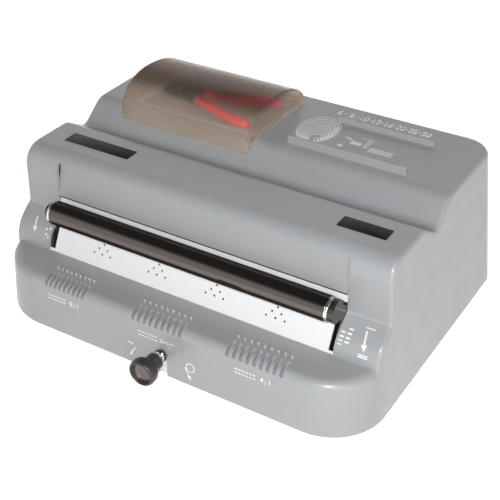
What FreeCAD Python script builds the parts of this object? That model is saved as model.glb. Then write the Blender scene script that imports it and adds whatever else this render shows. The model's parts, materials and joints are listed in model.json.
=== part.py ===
import FreeCAD, Part
import math
import os

# Desk-top electric coil inserter. A driven roller on two swing arms stands in front of
# a white back plate and spins a plastic coil through the holes of a punched book.
# Millimetres. While modelling, Y starts at the cover's front bottom edge and runs to the
# back, Z starts at the cover's bottom edge, and X = 0 is the middle of the machine.
# The pieces are moved to the part's own frame when they are saved.

V = FreeCAD.Vector

# Cover, outside
COVER_WIDTH = 385.0
SIDE_DRAFT = 0.058
FRONT_DRAFT = 0.04
REAR_DRAFT = 0.166
CORNER_RADIUS = 50.0
LEFT_CORNER_RADIUS = 60.0
REAR_CORNER_RADIUS = 27.0
EDGE_RADIUS = 4.0
LIP_RADIUS = 8.0
SHELF_HEIGHT = 52.4
SHELF_DEPTH = 41.5
SCALE_PROUD = 1.0
SCALE_RUN = 22.5
SCALE_SLOPE = 0.75
SCALE_RADIUS = 24.0
CREASE_HEIGHT = 82.5
CREASE_RADIUS = 3.0
FACE_LEAN = 1.0
TIER2_HEIGHT = 140.0
TIER2_RUN = 57.5
TIER2_FRONT_RADIUS = 18.0
TIER2_REAR_RADIUS = 8.0
VALLEY_HEIGHT = 124.5
VALLEY_FALL_RUN = 26.5
VALLEY_RISE_RUN = 25.0
VALLEY_RADIUS = 10.0
TIER3_HEIGHT = 145.5
TIER3_RUN = 105.7
TIER3_FRONT_RADIUS = 20.0

# Cover, inside and details
WALL = 3.0
SHELF_THICKNESS = 6.0
CHEEK_WIDTH = 45.0
GROOVES_PER_GROUP = 9
GROOVE_SHARE = 0.53
GROOVE_RADIUS = 25.0
GROOVE_CENTRE_Y = -0.9
GROOVE_CENTRE_RISE = 18.45
LIP_BAR_HALF = 132.0
LIP_BAR_DEPTH = 18.0
LIP_BAR_HEIGHT = 9.0
GROOVE_GROUPS = [(-99.2, 5.08), (0.0, 6.0), (96.3, 6.35)]
PIN_DIAMETER = 2.0
PIN_HEIGHT = 3.0
PIN_Y = 20.5
RIB_THICKNESS = 3.0
RIB_EDGE_RADIUS = 0.9
RIB_SIDE = 54.5
RIBS = [(10.6, 27.0, 7.5), (70.5, 46.0, 5.4)]
BOSS_RADIUS = 5.0
BOSS_INSET = 14.0
BOSS_TOP = 40.0
BOSS_FRONT_Y = 78.0
BOSS_REAR_INSET = 34.0

# Front panel and coil plate
PANEL_BOTTOM = 100.3
PANEL_TOP = 132.0
PANEL_THICKNESS = 2.5
PANEL_FOOT_PROUD = 1.5
PANEL_HEAD_SETBACK = 5.5
PANEL_SAG = 0.6
SEAM = 0.3
PLATE_LEAN = 27.0
PLATE_THICKNESS = 1.2
PLATE_FLANGE = 6.0
PLATE_LENGTH = 61.0
SLOT_WIDTH = 5.5
HOLE_RADIUS = 1.0
HOLE_PITCH = 8.9
HOLE_ROWS = 3
HOLE_ROW_PITCH = 4.65
HOLE_ROW_HEIGHT = 12.1
HOLE_CLUSTERS = 4
HOLE_CLUSTER_PITCH = 60.0

# Roller and swing arms
ROLLER_DIAMETER = 22.2
ROLLER_END_ROOM = 5.5
ROLLER_GAP = 1.85
ROLLER_SEAT = 37.5
ROLLER_CORE_RADIUS = 8.0
ROLLER_SHAFT_RADIUS = 3.0
END_RING_WIDTH = 2.8
END_RING_STEP = 0.25
ARM_LENGTH = 90.0
ARM_THICKNESS = 2.0
ARM_SIDE_GAP = 0.3
ARM_HALF_WIDTH = 6.5
ARM_HUB_RADIUS = 12.0
ARM_SHIELD_GAP = 1.3
ARM_BOSS_RADIUS = 10.3
ARM_CAP = 0.8
SWING_ANGLE = 18.0
SHIELD_MARGIN = 2.5
TIE_RADIUS = 5.0
TIE_REACH = 45.0

# Drive
DRIVE_SHAFT_RADIUS = 4.0
SHAFT_PROUD = 1.0
BUSH_WALL = 2.0
ROLLER_BUSH_WALL = 1.5
SHAFT_BUSH_RADIUS = 7.0
ARM_PULLEY_WIDTH = 2.5
ROLLER_PULLEY_RADIUS = 5.0
LAY_PULLEY_RADIUS = 9.0
ARM_BELT_WIDTH = 2.0
BELT_THICKNESS = 1.5
BELT_GAP = 0.3
DRIVE_PULLEY_RADIUS = 15.0
MOTOR_PULLEY_RADIUS = 10.0
DRIVE_PULLEY_WIDTH = 8.0
DRIVE_PULLEY_INSET = 19.5
DRIVE_BELT_WIDTH = 6.0
MOTOR_DISTANCE = 75.0
MOTOR_RISE = 10.0
MOTOR_SHAFT_RADIUS = 3.0
MOTOR_RADIUS = 28.0
MOTOR_LENGTH = 70.0
GEARBOX_RADIUS = 25.0
GEARBOX_LENGTH = 25.0
MOTOR_EDGE_RADIUS = 3.0
MOTOR_SHAFT_DEPTH = 12.0
PULLEY_SIDE_GAP = 1.0
MOTOR_BRACKET_MARGIN = 4.0
MOTOR_BRACKET_FOOT = 40.0
MOTOR_BRACKET_HOLE = 6.0

# Knob and spindle
KNOB_X = 6.4
KNOB_RADIUS = 12.5
KNOB_REACH = 31.0
KNOB_NECK_RADIUS = 6.5
KNOB_NECK_GAP = 7.0
KNOB_HEAD_LENGTH = 12.5
KNOB_RIM = 3.0
KNOB_DISH = 1.5
KNOB_CAP = 8.0
SPINDLE_RADIUS = 4.0
SPINDLE_NOTCH = 9.0
COLLAR_RADIUS = 6.2
COLLAR_WIDTH = 3.0
NUT_HALF = 7.0
NUT_PIN_RADIUS = 3.0
NUT_PIN_END = 1.5
NUT_END_GAP = 10.0
FRONT_BRACKET_HALF = 30.0
FRONT_BRACKET_GAP = 0.6
REAR_BRACKET_HALF = 12.0
REAR_BRACKET_RISE = 10.0
SPINDLE_BRACKET_FOOT = 20.0
SPINDLE_BUSH_LENGTH = 8.0
LEVER_THICKNESS = 3.0
LEVER_CLEARANCE = 0.5
LEVER_SLOT_PLAY = 0.3
LEVER_HALF_WIDTH = 8.0
LEVER_RADIUS = 16.9
LEVER_EYE_WALL = 3.0
LEVER_TIP = 2.0
LEVER_SLOT_ROOM = 1.0

# Frame
SHEET = 2.0
SIDE_PLATE_THICKNESS = 2.5
SIDE_PLATE_GAP = 1.0
SIDE_PLATE_TOP = 112.0
FLANGE_BOSS_GAP = 9.0
SIDE_PLATE_FRONT_GAP = 7.0
SIDE_PLATE_NECK_GAP = 3.0
SIDE_PLATE_HEAD = 30.0
SIDE_PLATE_REACH = 30.0
SIDE_PLATE_HEEL = 22.0
BASE_CLEARANCE = 0.4
FOOT_PROUD = 3.0
FOOT_RADIUS = 11.0
FOOT_STEM_RADIUS = 3.0
FOOT_INSET_X = 34.0
FOOT_INSET_Y = 44.0
FIT = 0.05
SCREW_RADIUS = 2.0
SCREW_HEAD_RADIUS = 3.5
SCREW_HEAD_HEIGHT = 2.2
SCREW_LENGTH = 12.0

# Tool compartment
LID_SIDE = 45.5
LID_WIDTH = 142.0
LID_WALL = 2.5
LID_GAP = 0.5
LID_FRONT_OVERHANG = 12.2
LID_REACH = 92.0
LID_FRONT_ARC = 43.0
LID_FRONT_RISE = 27.6
LID_CROWN_RISE = 29.0
LID_SKIRT = 15.0
LID_EDGE_RADIUS = 1.5
HINGE_RISE = 4.2
HINGE_INSET = 3.0
HINGE_RADIUS = 3.5
HINGE_PIN_RADIUS = 1.5
HINGE_SIDE = 32.0
HINGE_LENGTH = 68.0
HINGE_EAR_WIDTH = 5.0
HINGE_SIDE_GAP = 0.4
HINGE_EAR_ROOT = 6.0
HINGE_RELIEF = 2.0
TRAY_DEPTH = 4.0
TRAY_WALL = 1.8
TRAY_FLANGE = 3.0
TRAY_FLANGE_THICKNESS = 1.4
TRAY_MARGIN = 7.0
TRAY_CLEARANCE = 0.3
PLIER_SPREAD = 17.0
PLIER_JAW = 14.0
PLIER_JAW_SPREAD = 4.0
PLIER_JAW_WIDTH = 9.0
PLIER_EYE_RADIUS = 7.0
PLIER_END_GAP = 5.0
PLIER_BAR_THICKNESS = 4.0
PLIER_BAR_WIDTH = 6.0
PLIER_GRIP_RADIUS = 5.5
PLIER_GRIP_START = 25.5
PLIER_RIVET_RADIUS = 3.0

# Rear connections and electronics
REAR_PANEL_INSET = 13.0
REAR_PANEL_SIDE = 28.0
REAR_PANEL_WIDTH = 132.0
REAR_PANEL_TOP = 58.0
REAR_PANEL_FOOT = 18.0
REAR_OPENING_MARGIN = 6.0
REAR_OPENING_Z0 = 12.0
REAR_OPENING_Z1 = 50.0
CONNECTOR_Z = 31.0
INLET_INSET = 27.0
INLET_WIDTH = 28.0
INLET_HEIGHT = 20.0
INLET_FLANGE = 5.0
INLET_DEPTH = 17.0
INLET_WALL = 2.0
INLET_BACK = 4.0
BLADE_PITCH = 7.0
BLADE_OFFSET = 2.0
BLADE_WIDTH = 2.0
BLADE_HEIGHT = 4.0
BLADE_LENGTH = 13.0
SWITCH_INSET = 67.0
SWITCH_WIDTH = 15.0
SWITCH_HEIGHT = 22.0
SWITCH_DEPTH = 20.0
SWITCH_WALL = 1.5
SWITCH_FLANGE = 2.0
ROCKER_PIN_RADIUS = 1.0
ROCKER_SETBACK = 3.0
ROCKER_DISH = 2.5
ROCKER_RADIUS = 8.5
ROCKER_PLAY = 0.3
ROCKER_TILT = 8.0
JACK_INSET = 107.0
JACK_RADIUS = 7.0
JACK_NECK_RADIUS = 5.5
JACK_PROUD = 3.0
JACK_BACK = 6.0
JACK_BORE_RADIUS = 3.2
JACK_DEPTH = 16.0
LABEL_THICKNESS = 0.5
LABEL_DEPTH = 15.5
LABEL_LEFT_SIDE = 32.5
LABEL_LEFT_WIDTH = 71.0
LABEL_RIGHT_SIDE = 28.5
LABEL_RIGHT_WIDTH = 44.0
LABEL_OFFSET = 28.0
BOARD_INSET = 77.0
BOARD_WIDTH = 100.0
BOARD_LENGTH = 70.0
BOARD_THICKNESS = 1.6
BOARD_STANDOFF = 8.0
BOARD_REAR_GAP = 32.0
BOARD_HOLE_INSET = 5.0
STANDOFF_RADIUS = 3.0
TRANSFORMER_SIZE = 36.0
TRANSFORMER_INSET = 8.0
TRANSFORMER_BOBBIN = 6.0
RELAY_LENGTH = 20.0
RELAY_WIDTH = 16.0
RELAY_HEIGHT = 15.0
TERMINALS_LENGTH = 40.0
TERMINALS_WIDTH = 8.0
TERMINALS_HEIGHT = 10.0
CAPACITOR_RADIUS = 7.0
CAPACITOR_HEIGHT = 25.0
BOARD_PART_GAP = 4.0

# Places that follow from the sizes above
Y_SCALE = SHELF_DEPTH - SCALE_PROUD
Y_FACE = Y_SCALE + SCALE_RUN
Y_TIER2 = Y_FACE + TIER2_RUN
Y_VALLEY = Y_TIER2 + VALLEY_FALL_RUN
Y_TIER3 = Y_VALLEY + VALLEY_RISE_RUN
Y_REAR_TOP = Y_TIER3 + TIER3_RUN
Y_REAR = Y_REAR_TOP + REAR_DRAFT * TIER3_HEIGHT
SKIRT_Z = -10.0
FAR = 1000.0
OVERCUT = 1.0

WINDOW_HALF = COVER_WIDTH / 2 - CHEEK_WIDTH
ROLLER_HALF = WINDOW_HALF - ROLLER_END_ROOM
LID_X0 = LID_SIDE - COVER_WIDTH / 2
LID_X1 = LID_X0 + LID_WIDTH
LID_REAR = Y_TIER3 + LID_REACH
HINGE_X0 = LID_X0 + HINGE_SIDE
HINGE_X1 = HINGE_X0 + HINGE_LENGTH
REAR_PANEL_X1 = COVER_WIDTH / 2 - REAR_PANEL_SIDE
REAR_PANEL_X0 = REAR_PANEL_X1 - REAR_PANEL_WIDTH
INLET_X = REAR_PANEL_X1 - INLET_INSET
SWITCH_X = REAR_PANEL_X1 - SWITCH_INSET
JACK_X = REAR_PANEL_X1 - JACK_INSET
BOARD_X = REAR_PANEL_X1 - BOARD_INSET
DRIVE_PULLEY_X = DRIVE_PULLEY_INSET - WINDOW_HALF

LEAN = math.radians(PLATE_LEAN)
PLATE_UP = V(0, math.sin(LEAN), math.cos(LEAN))
PLATE_OUT = V(0, -math.cos(LEAN), math.sin(LEAN))
PLATE_FOOT = V(0, SHELF_DEPTH, SHELF_HEIGHT)
ROLLER_RADIUS = ROLLER_DIAMETER / 2
ROLLER = PLATE_FOOT + PLATE_UP * ROLLER_SEAT + PLATE_OUT * (ROLLER_RADIUS + ROLLER_GAP)
ARM_ANGLE = PLATE_LEAN + SWING_ANGLE / 2


def ray(angle):
    """Direction in the YZ plane, in degrees above the forward direction."""
    a = math.radians(angle)
    return V(0, -math.cos(a), math.sin(a))


PIVOT = ROLLER - ray(ARM_ANGLE) * ARM_LENGTH
PIVOT_TO_PLATE = (PIVOT - PLATE_FOOT).dot(PLATE_OUT * -1)
ARM_OUTER = WINDOW_HALF - ARM_SIDE_GAP
ARM_INNER = ARM_OUTER - ARM_THICKNESS
ROLLER_BORE_END = ARM_OUTER - ARM_CAP
ARM_PULLEY_OUTER = ARM_INNER - ARM_SIDE_GAP
ARM_PULLEY_INNER = ARM_PULLEY_OUTER - ARM_PULLEY_WIDTH
SLOT_INNER = WINDOW_HALF - SLOT_WIDTH
SIDE_PLATE_X = WINDOW_HALF + SIDE_PLATE_GAP
BOSS_X = COVER_WIDTH / 2 - BOSS_INSET
SIDE_PLATE_FLANGE = BOSS_X - BOSS_RADIUS - FLANGE_BOSS_GAP - SIDE_PLATE_X
TIE = PIVOT + ray(ARM_ANGLE) * TIE_REACH
MOTOR = PIVOT + V(0, MOTOR_DISTANCE, MOTOR_RISE)
KNOB_Z = PIVOT.z - LEVER_RADIUS
NUT_Y = PIVOT.y - LEVER_RADIUS * math.sin(math.radians(SWING_ANGLE / 2))
LEVER_X = NUT_HALF + LEVER_CLEARANCE
BASE_TOP = SHEET
HINGE = V(0, LID_REAR - HINGE_INSET, TIER3_HEIGHT + HINGE_RISE)
TRAY_X0 = LID_X0 + TRAY_MARGIN
TRAY_X1 = LID_X1 - TRAY_MARGIN
TRAY_Y0 = Y_TIER3 + TRAY_MARGIN + TRAY_FLANGE
TRAY_Y1 = LID_REAR - TRAY_MARGIN - TRAY_FLANGE
TRAY_FLOOR = TIER3_HEIGHT - TRAY_DEPTH
REAR_PANEL_Y = Y_REAR - REAR_PANEL_INSET
MOTOR_BRACKET_X = DRIVE_PULLEY_X + DRIVE_PULLEY_WIDTH / 2 + PULLEY_SIDE_GAP
FRONT_BRACKET_TOP = SHELF_HEIGHT - SHELF_THICKNESS - 2 * SHEET
BOARD_TOP = BASE_TOP + BOARD_STANDOFF + BOARD_THICKNESS
ROCKER_HALF = SWITCH_WIDTH / 2 - SWITCH_WALL - ROCKER_PLAY
OFFSET = V(0, (KNOB_REACH - Y_REAR) / 2, FOOT_PROUD)

os.makedirs("parts", exist_ok=True)


def box(x0, x1, y0, y1, z0, z1):
    return Part.makeBox(x1 - x0, y1 - y0, z1 - z0, V(x0, y0, z0))


def rod_x(radius, x0, x1, at):
    return Part.makeCylinder(radius, x1 - x0, V(x0, at.y, at.z), V(1, 0, 0))


def rod_y(radius, x, y0, y1, z):
    return Part.makeCylinder(radius, y1 - y0, V(x, y0, z), V(0, 1, 0))


def rod_z(radius, x, y, z0, z1):
    return Part.makeCylinder(radius, z1 - z0, V(x, y, z0))


def ring_x(outer, inner, x0, x1, at):
    return rod_x(outer, x0, x1, at).cut(rod_x(inner, x0, x1, at))


def slab(points, x0, x1):
    """Flat piece across X with the outline of the given (y, z) points."""
    corners = [V(x0, p[0], p[1]) for p in points]
    outline = Part.makePolygon(corners + corners[:1])
    return Part.Face(outline).extrude(V(x1 - x0, 0, 0))


def bar(start, end, half_width, x0, x1):
    """Flat straight bar across X between two points of the YZ plane."""
    along = V(end - start).normalize()
    side = V(0, -along.z, along.y) * half_width
    corners = [start + side, end + side, end - side, start - side]
    return slab([(c.y, c.z) for c in corners], x0, x1)


def rounded_outline(corners, x):
    """Closed wire in the plane X = x through (y, z, corner radius) corners."""
    points = [V(x, y, z) for y, z, radius in corners]
    count = len(points)
    arcs = []
    starts = []
    ends = []
    for i, (y, z, radius) in enumerate(corners):
        back = (points[i - 1] - points[i]).normalize()
        ahead = (points[(i + 1) % count] - points[i]).normalize()
        half = back.getAngle(ahead) / 2
        reach = radius / math.tan(half)
        inward = (back + ahead).normalize() * (radius / math.sin(half) - radius)
        starts.append(points[i] + back * reach)
        ends.append(points[i] + ahead * reach)
        arcs.append(Part.Arc(starts[i], points[i] + inward, ends[i]).toShape() if radius else None)
    edges = []
    for i in range(count):
        if arcs[i]:
            edges.append(arcs[i])
        edges.append(Part.makeLine(ends[i], starts[(i + 1) % count]))
    return Part.Wire(edges)


def loop(first, radius_1, second, radius_2, x0, x1):
    """Solid with the outline of a belt laid tightly round two circles of the YZ plane."""
    reach = second - first
    tilt = math.asin((radius_1 - radius_2) / reach.Length)
    along = V(reach).normalize()
    side = V(0, -along.z, along.y)
    solid = rod_x(radius_1, x0, x1, first).fuse(rod_x(radius_2, x0, x1, second))
    up = along * math.sin(tilt) + side * math.cos(tilt)
    down = along * math.sin(tilt) - side * math.cos(tilt)
    corners = [first + up * radius_1, second + up * radius_2]
    corners += [second + down * radius_2, first + down * radius_1]
    return solid.fuse(slab([(c.y, c.z) for c in corners], x0, x1)).removeSplitter()


def save(name, shape):
    moved = shape.copy()
    moved.translate(OFFSET)
    if not moved.isValid():
        print("not valid:", name)
    moved.exportStep("parts/" + name + ".step")
    print(name, len(moved.Solids), round(moved.Volume / 1000, 2), "cm3")


# Cover

def side_at(z):
    return COVER_WIDTH / 2 - SIDE_DRAFT * z


def rear_at(z):
    return Y_REAR - REAR_DRAFT * z


def round_corner(block, side, row, radius):
    """Rounds one upright corner of a block: side is its X sign and row its Y sign."""
    upright = [e for e in block.Edges if e.BoundBox.ZLength > block.BoundBox.ZLength / 2]
    outward = [side * e.CenterOfMass.x + row * e.CenterOfMass.y for e in upright]
    return block.makeFillet(radius, [upright[outward.index(max(outward))]])


def hull(z0, z1, inset):
    """Drafted block between two heights, with the round corners of the cover."""
    half0 = side_at(z0) - inset
    half1 = side_at(z1) - inset
    rear0 = rear_at(z0) - inset
    rear1 = rear_at(z1) - inset
    front0 = FRONT_DRAFT * z0 + inset
    front1 = FRONT_DRAFT * z1 + inset
    block = Part.makeWedge(-half0, z0, -rear0, -rear1, -half1, half0, z1, -front0, -front1, half1)
    block.rotate(V(0, 0, 0), V(1, 0, 0), 90)
    block = round_corner(block, 1, -1, CORNER_RADIUS - inset)
    block = round_corner(block, -1, -1, LEFT_CORNER_RADIUS - inset)
    for side in (-1, 1):
        block = round_corner(block, side, 1, REAR_CORNER_RADIUS - inset)
    return block


def profile(foot, x):
    """Side outline of the stepped upper cover above the height foot, open to the rear."""
    scale_corner = CREASE_HEIGHT - SCALE_SLOPE * SCALE_RUN
    behind = Y_REAR + CORNER_RADIUS
    return rounded_outline([
        (Y_SCALE, foot, 0),
        (Y_SCALE, scale_corner, SCALE_RADIUS),
        (Y_FACE, CREASE_HEIGHT, CREASE_RADIUS),
        (Y_FACE - FACE_LEAN, TIER2_HEIGHT, TIER2_FRONT_RADIUS),
        (Y_TIER2, TIER2_HEIGHT, TIER2_REAR_RADIUS),
        (Y_VALLEY, VALLEY_HEIGHT, VALLEY_RADIUS),
        (Y_TIER3, TIER3_HEIGHT, TIER3_FRONT_RADIUS),
        (behind, TIER3_HEIGHT, 0),
        (behind, foot, 0),
    ], x)


def upper_block(inset, foot):
    """Stepped upper cover as a full block, drawn in by inset on every side."""
    outline = Part.Face(profile(foot, -COVER_WIDTH))
    if inset:
        outline = outline.makeOffset2D(-inset)
    prism = outline.extrude(V(2 * COVER_WIDTH, 0, 0))
    sides = hull(foot - WALL, 2 * TIER3_HEIGHT, inset)
    return prism.common(sides).Solids[0]


def middle_normal(face):
    u0, u1, v0, v1 = face.ParameterRange
    return face.normalAt((u0 + u1) / 2, (v0 + v1) / 2)


def is_wall(face):
    """Side, rear or corner face, as opposed to a face of the stepped outline."""
    normal = middle_normal(face)
    return abs(normal.x) > 0.3 or normal.y > 0.9


def round_side_edges(block, foot):
    """Rounds the edges where the stepped outline meets the side and rear walls."""
    chosen = []
    for edge in block.Edges:
        walls = [is_wall(f) for f in block.ancestorsOfType(edge, Part.Face)]
        if any(walls) and not all(walls) and edge.BoundBox.ZMax > foot + 0.5:
            chosen.append(edge)
    return block.makeFillet(EDGE_RADIUS, chosen)


def shelf_block(top, inset, foot):
    """Low front part of the cover that carries the shelf."""
    rear = Y_FACE + CORNER_RADIUS / 4
    room = box(-FAR, FAR, -FAR, rear, -FAR, FAR)
    return hull(foot, top, inset).common(room).Solids[0]


def round_lip(block, top):
    rear = Y_FACE + CORNER_RADIUS / 4
    lip = [e for e in block.Edges if e.BoundBox.ZMin > top - 0.01 and e.CenterOfMass.y < rear - 0.5]
    return block.makeFillet(LIP_RADIUS, lip)


def groove_places():
    """Middle and pitch of every groove."""
    places = []
    for centre, pitch in GROOVE_GROUPS:
        for i in range(GROOVES_PER_GROUP):
            places.append((centre + (i - (GROOVES_PER_GROUP - 1) / 2) * pitch, pitch))
    return places


def lip_bar():
    """Solid bar inside the front lip that leaves material under the grooves."""
    room = box(-LIP_BAR_HALF, LIP_BAR_HALF, WALL / 2, LIP_BAR_DEPTH,
               SHELF_HEIGHT - LIP_BAR_HEIGHT, SHELF_HEIGHT - WALL)
    return room.common(shelf_block(SHELF_HEIGHT - WALL / 2, WALL / 2, SKIRT_Z))


def boss_places():
    rows = (BOSS_FRONT_Y, Y_REAR - BOSS_REAR_INSET)
    return [(side * BOSS_X, y) for side in (-1, 1) for y in rows]


def hinge_ears():
    ears = []
    for x0 in (HINGE_X0 - HINGE_SIDE_GAP - HINGE_EAR_WIDTH, HINGE_X1 + HINGE_SIDE_GAP):
        x1 = x0 + HINGE_EAR_WIDTH
        root = TIER3_HEIGHT - HINGE_EAR_ROOT
        post = box(x0, x1, HINGE.y - HINGE_RADIUS, HINGE.y + HINGE_RADIUS, root, HINGE.z)
        ears.append(post.fuse(rod_x(HINGE_RADIUS, x0, x1, HINGE)))
    return ears


def deck_rib(y, x0, height):
    """Upright stop on the rear deck, with soft edges above its root."""
    x1 = COVER_WIDTH / 2 - RIB_SIDE
    root = TIER3_HEIGHT - WALL / 3
    rib = box(x0, x1, y, y + RIB_THICKNESS, root, TIER3_HEIGHT + height)
    free = [e for e in rib.Edges if e.BoundBox.ZMax > root + RIB_EDGE_RADIUS]
    return rib.makeFillet(RIB_EDGE_RADIUS, free)


def cover_shell():
    outer = round_side_edges(upper_block(0, SKIRT_Z), SKIRT_Z)
    outer = outer.fuse(round_lip(shelf_block(SHELF_HEIGHT, 0, SKIRT_Z), SHELF_HEIGHT)).removeSplitter()
    hollow = [upper_block(WALL, 2 * SKIRT_Z)]
    hollow.append(shelf_block(SHELF_HEIGHT - SHELF_THICKNESS, WALL, 2 * SKIRT_Z))
    shell = outer.cut(hollow)
    shell = shell.cut(box(-FAR, FAR, -FAR, FAR, -FAR, 0))
    additions = hinge_ears() + [lip_bar()]
    for offset, lid_gap, height in RIBS:
        additions.append(deck_rib(Y_TIER3 + offset, LID_X1 + lid_gap, height))
    for x, pitch in groove_places():
        additions.append(rod_z(PIN_DIAMETER / 2, x, PIN_Y, SHELF_HEIGHT - OVERCUT, SHELF_HEIGHT + PIN_HEIGHT))
    for x, y in boss_places():
        wall_x = math.copysign(side_at(BOSS_TOP) - WALL / 2, x)
        additions.append(rod_z(BOSS_RADIUS, x, y, BASE_TOP, BOSS_TOP))
        web = [min(x, wall_x), max(x, wall_x)]
        additions.append(box(web[0], web[1], y - WALL / 2, y + WALL / 2, BASE_TOP, BOSS_TOP))
    shell = shell.fuse(additions)
    window_rear = Y_FACE + TIER2_FRONT_RADIUS
    cuts = [box(-WINDOW_HALF, WINDOW_HALF, Y_SCALE - WALL, window_rear, SHELF_HEIGHT, PANEL_TOP)]
    below = SHELF_HEIGHT - SHELF_THICKNESS - WALL
    cuts.append(box(-WINDOW_HALF, WINDOW_HALF, SHELF_DEPTH, window_rear, below, SHELF_HEIGHT))
    cuts.append(box(TRAY_X0 - TRAY_CLEARANCE, TRAY_X1 + TRAY_CLEARANCE, TRAY_Y0 - TRAY_CLEARANCE,
                    TRAY_Y1 + TRAY_CLEARANCE, TIER3_HEIGHT - 2 * WALL, TIER3_HEIGHT + WALL))
    centre = V(0, GROOVE_CENTRE_Y, SHELF_HEIGHT + GROOVE_CENTRE_RISE)
    for x, pitch in groove_places():
        half = GROOVE_SHARE * pitch / 2
        cuts.append(rod_x(GROOVE_RADIUS, x - half, x + half, centre))
    half = SPINDLE_NOTCH / 2
    cuts.append(rod_y(half, KNOB_X, -WALL, 3 * WALL, KNOB_Z))
    cuts.append(box(KNOB_X - half, KNOB_X + half, -WALL, 3 * WALL, -OVERCUT, KNOB_Z))
    cuts.append(box(REAR_PANEL_X0 + REAR_OPENING_MARGIN, REAR_PANEL_X1 - REAR_OPENING_MARGIN,
                    REAR_PANEL_Y, Y_REAR + OVERCUT, REAR_OPENING_Z0, REAR_OPENING_Z1))
    cuts.append(rod_x(HINGE_PIN_RADIUS + FIT, HINGE_X0 - FAR, HINGE_X1 + FAR, HINGE))
    for x, y in boss_places():
        cuts.append(rod_z(SCREW_RADIUS + FIT, x, y, -OVERCUT, BASE_TOP + SCREW_LENGTH))
    return shell.cut(cuts)


# Front panel and coil plate

def front_panel():
    """Slightly hollow panel between the cheeks, above the roller."""
    foot = V(-WINDOW_HALF + SEAM, Y_FACE - PANEL_FOOT_PROUD, PANEL_BOTTOM)
    head = V(-WINDOW_HALF + SEAM, Y_FACE + PANEL_HEAD_SETBACK, PANEL_TOP - SEAM)
    middle = (foot + head) * 0.5 + V(0, PANEL_SAG, 0)
    back = V(0, PANEL_THICKNESS, 0)
    edges = [Part.Arc(foot, middle, head).toShape(), Part.makeLine(head, head + back)]
    edges += [Part.Arc(head + back, middle + back, foot + back).toShape(), Part.makeLine(foot + back, foot)]
    return Part.Face(Part.Wire(edges)).extrude(V(2 * (WINDOW_HALF - SEAM), 0, 0))


def hole_places():
    """Holes of the coil plate, in triangles of one, two and three from the top down."""
    places = []
    for k in range(HOLE_CLUSTERS):
        middle = (k - (HOLE_CLUSTERS - 1) / 2) * HOLE_CLUSTER_PITCH
        for row in range(HOLE_ROWS):
            for i in range(row + 1):
                x = middle + (i - row / 2) * HOLE_PITCH
                places.append((x, HOLE_ROW_HEIGHT + (HOLE_ROWS - 1 - row) * HOLE_ROW_PITCH))
    return places


def coil_plate():
    """White sheet behind the roller, notched at both ends for the swing arms."""
    half = WINDOW_HALF - SEAM
    foot = PLATE_FOOT + V(0, FIT, 0)
    low = foot - V(0, 0, PLATE_FLANGE)
    top = foot + PLATE_UP * PLATE_LENGTH
    back = PLATE_OUT * -PLATE_THICKNESS
    down = V(0, PLATE_THICKNESS, 0)
    bend = foot + back + PLATE_UP * (PLATE_THICKNESS * math.tan(LEAN / 2))
    outline = [low, foot, top, top + back, bend, low + down]
    plate = slab([(p.y, p.z) for p in outline], -half, half)
    reach = math.tan(math.radians(SWING_ANGLE / 2)) * PIVOT_TO_PLATE
    room = ARM_HALF_WIDTH + SHIELD_MARGIN
    middle = (PIVOT - PLATE_FOOT).dot(PLATE_UP)
    low_end = foot + PLATE_UP * (middle - reach - room)
    high_end = foot + PLATE_UP * (middle + reach + room)
    cuts = []
    for x0, x1 in ((-FAR, -SLOT_INNER), (SLOT_INNER, FAR)):
        cuts.append(bar(low_end, high_end, 4 * PLATE_THICKNESS, x0, x1))
    for x, up in hole_places():
        start = V(x, 0, 0) + foot + PLATE_UP * up + PLATE_OUT * PLATE_THICKNESS
        cuts.append(Part.makeCylinder(HOLE_RADIUS, 3 * PLATE_THICKNESS, start, PLATE_OUT * -1))
    return plate.cut(cuts)


# Base, feet and frame

def foot_places():
    x = COVER_WIDTH / 2 - FOOT_INSET_X
    rows = {"front": FOOT_INSET_Y, "rear": Y_REAR - FOOT_INSET_Y}
    columns = {"left": -x, "right": x}
    return {row + "_" + side: (columns[side], rows[row]) for row in rows for side in columns}


def board_corners():
    y1 = REAR_PANEL_Y - BOARD_REAR_GAP
    y0 = y1 - BOARD_LENGTH
    half = BOARD_WIDTH / 2 - BOARD_HOLE_INSET
    ys = (y0 + BOARD_HOLE_INSET, y1 - BOARD_HOLE_INSET)
    return [(x, y) for x in (BOARD_X - half, BOARD_X + half) for y in ys]


def base_plate():
    sheet = hull(SKIRT_Z, SHELF_HEIGHT, WALL + BASE_CLEARANCE)
    sheet = sheet.common(box(-FAR, FAR, -FAR, FAR, 0, BASE_TOP)).Solids[0]
    for x, y in board_corners():
        sheet = sheet.fuse(rod_z(STANDOFF_RADIUS, x, y, BASE_TOP, BASE_TOP + BOARD_STANDOFF))
    top = BASE_TOP + OVERCUT
    cuts = [rod_z(FOOT_STEM_RADIUS + FIT, x, y, -OVERCUT, top) for x, y in foot_places().values()]
    cuts += [rod_z(SCREW_RADIUS + FIT, x, y, -OVERCUT, top) for x, y in boss_places()]
    return sheet.cut(cuts)


def foot(x, y):
    stem = rod_z(FOOT_STEM_RADIUS, x, y, -OVERCUT, BASE_TOP)
    return rod_z(FOOT_RADIUS, x, y, -FOOT_PROUD, 0).fuse(stem)


def cover_screws():
    screws = []
    for x, y in boss_places():
        head = rod_z(SCREW_HEAD_RADIUS, x, y, -SCREW_HEAD_HEIGHT, 0)
        screws.append(head.fuse(rod_z(SCREW_RADIUS, x, y, -OVERCUT, BASE_TOP + SCREW_LENGTH)))
    return Part.makeCompound(screws)


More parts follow.
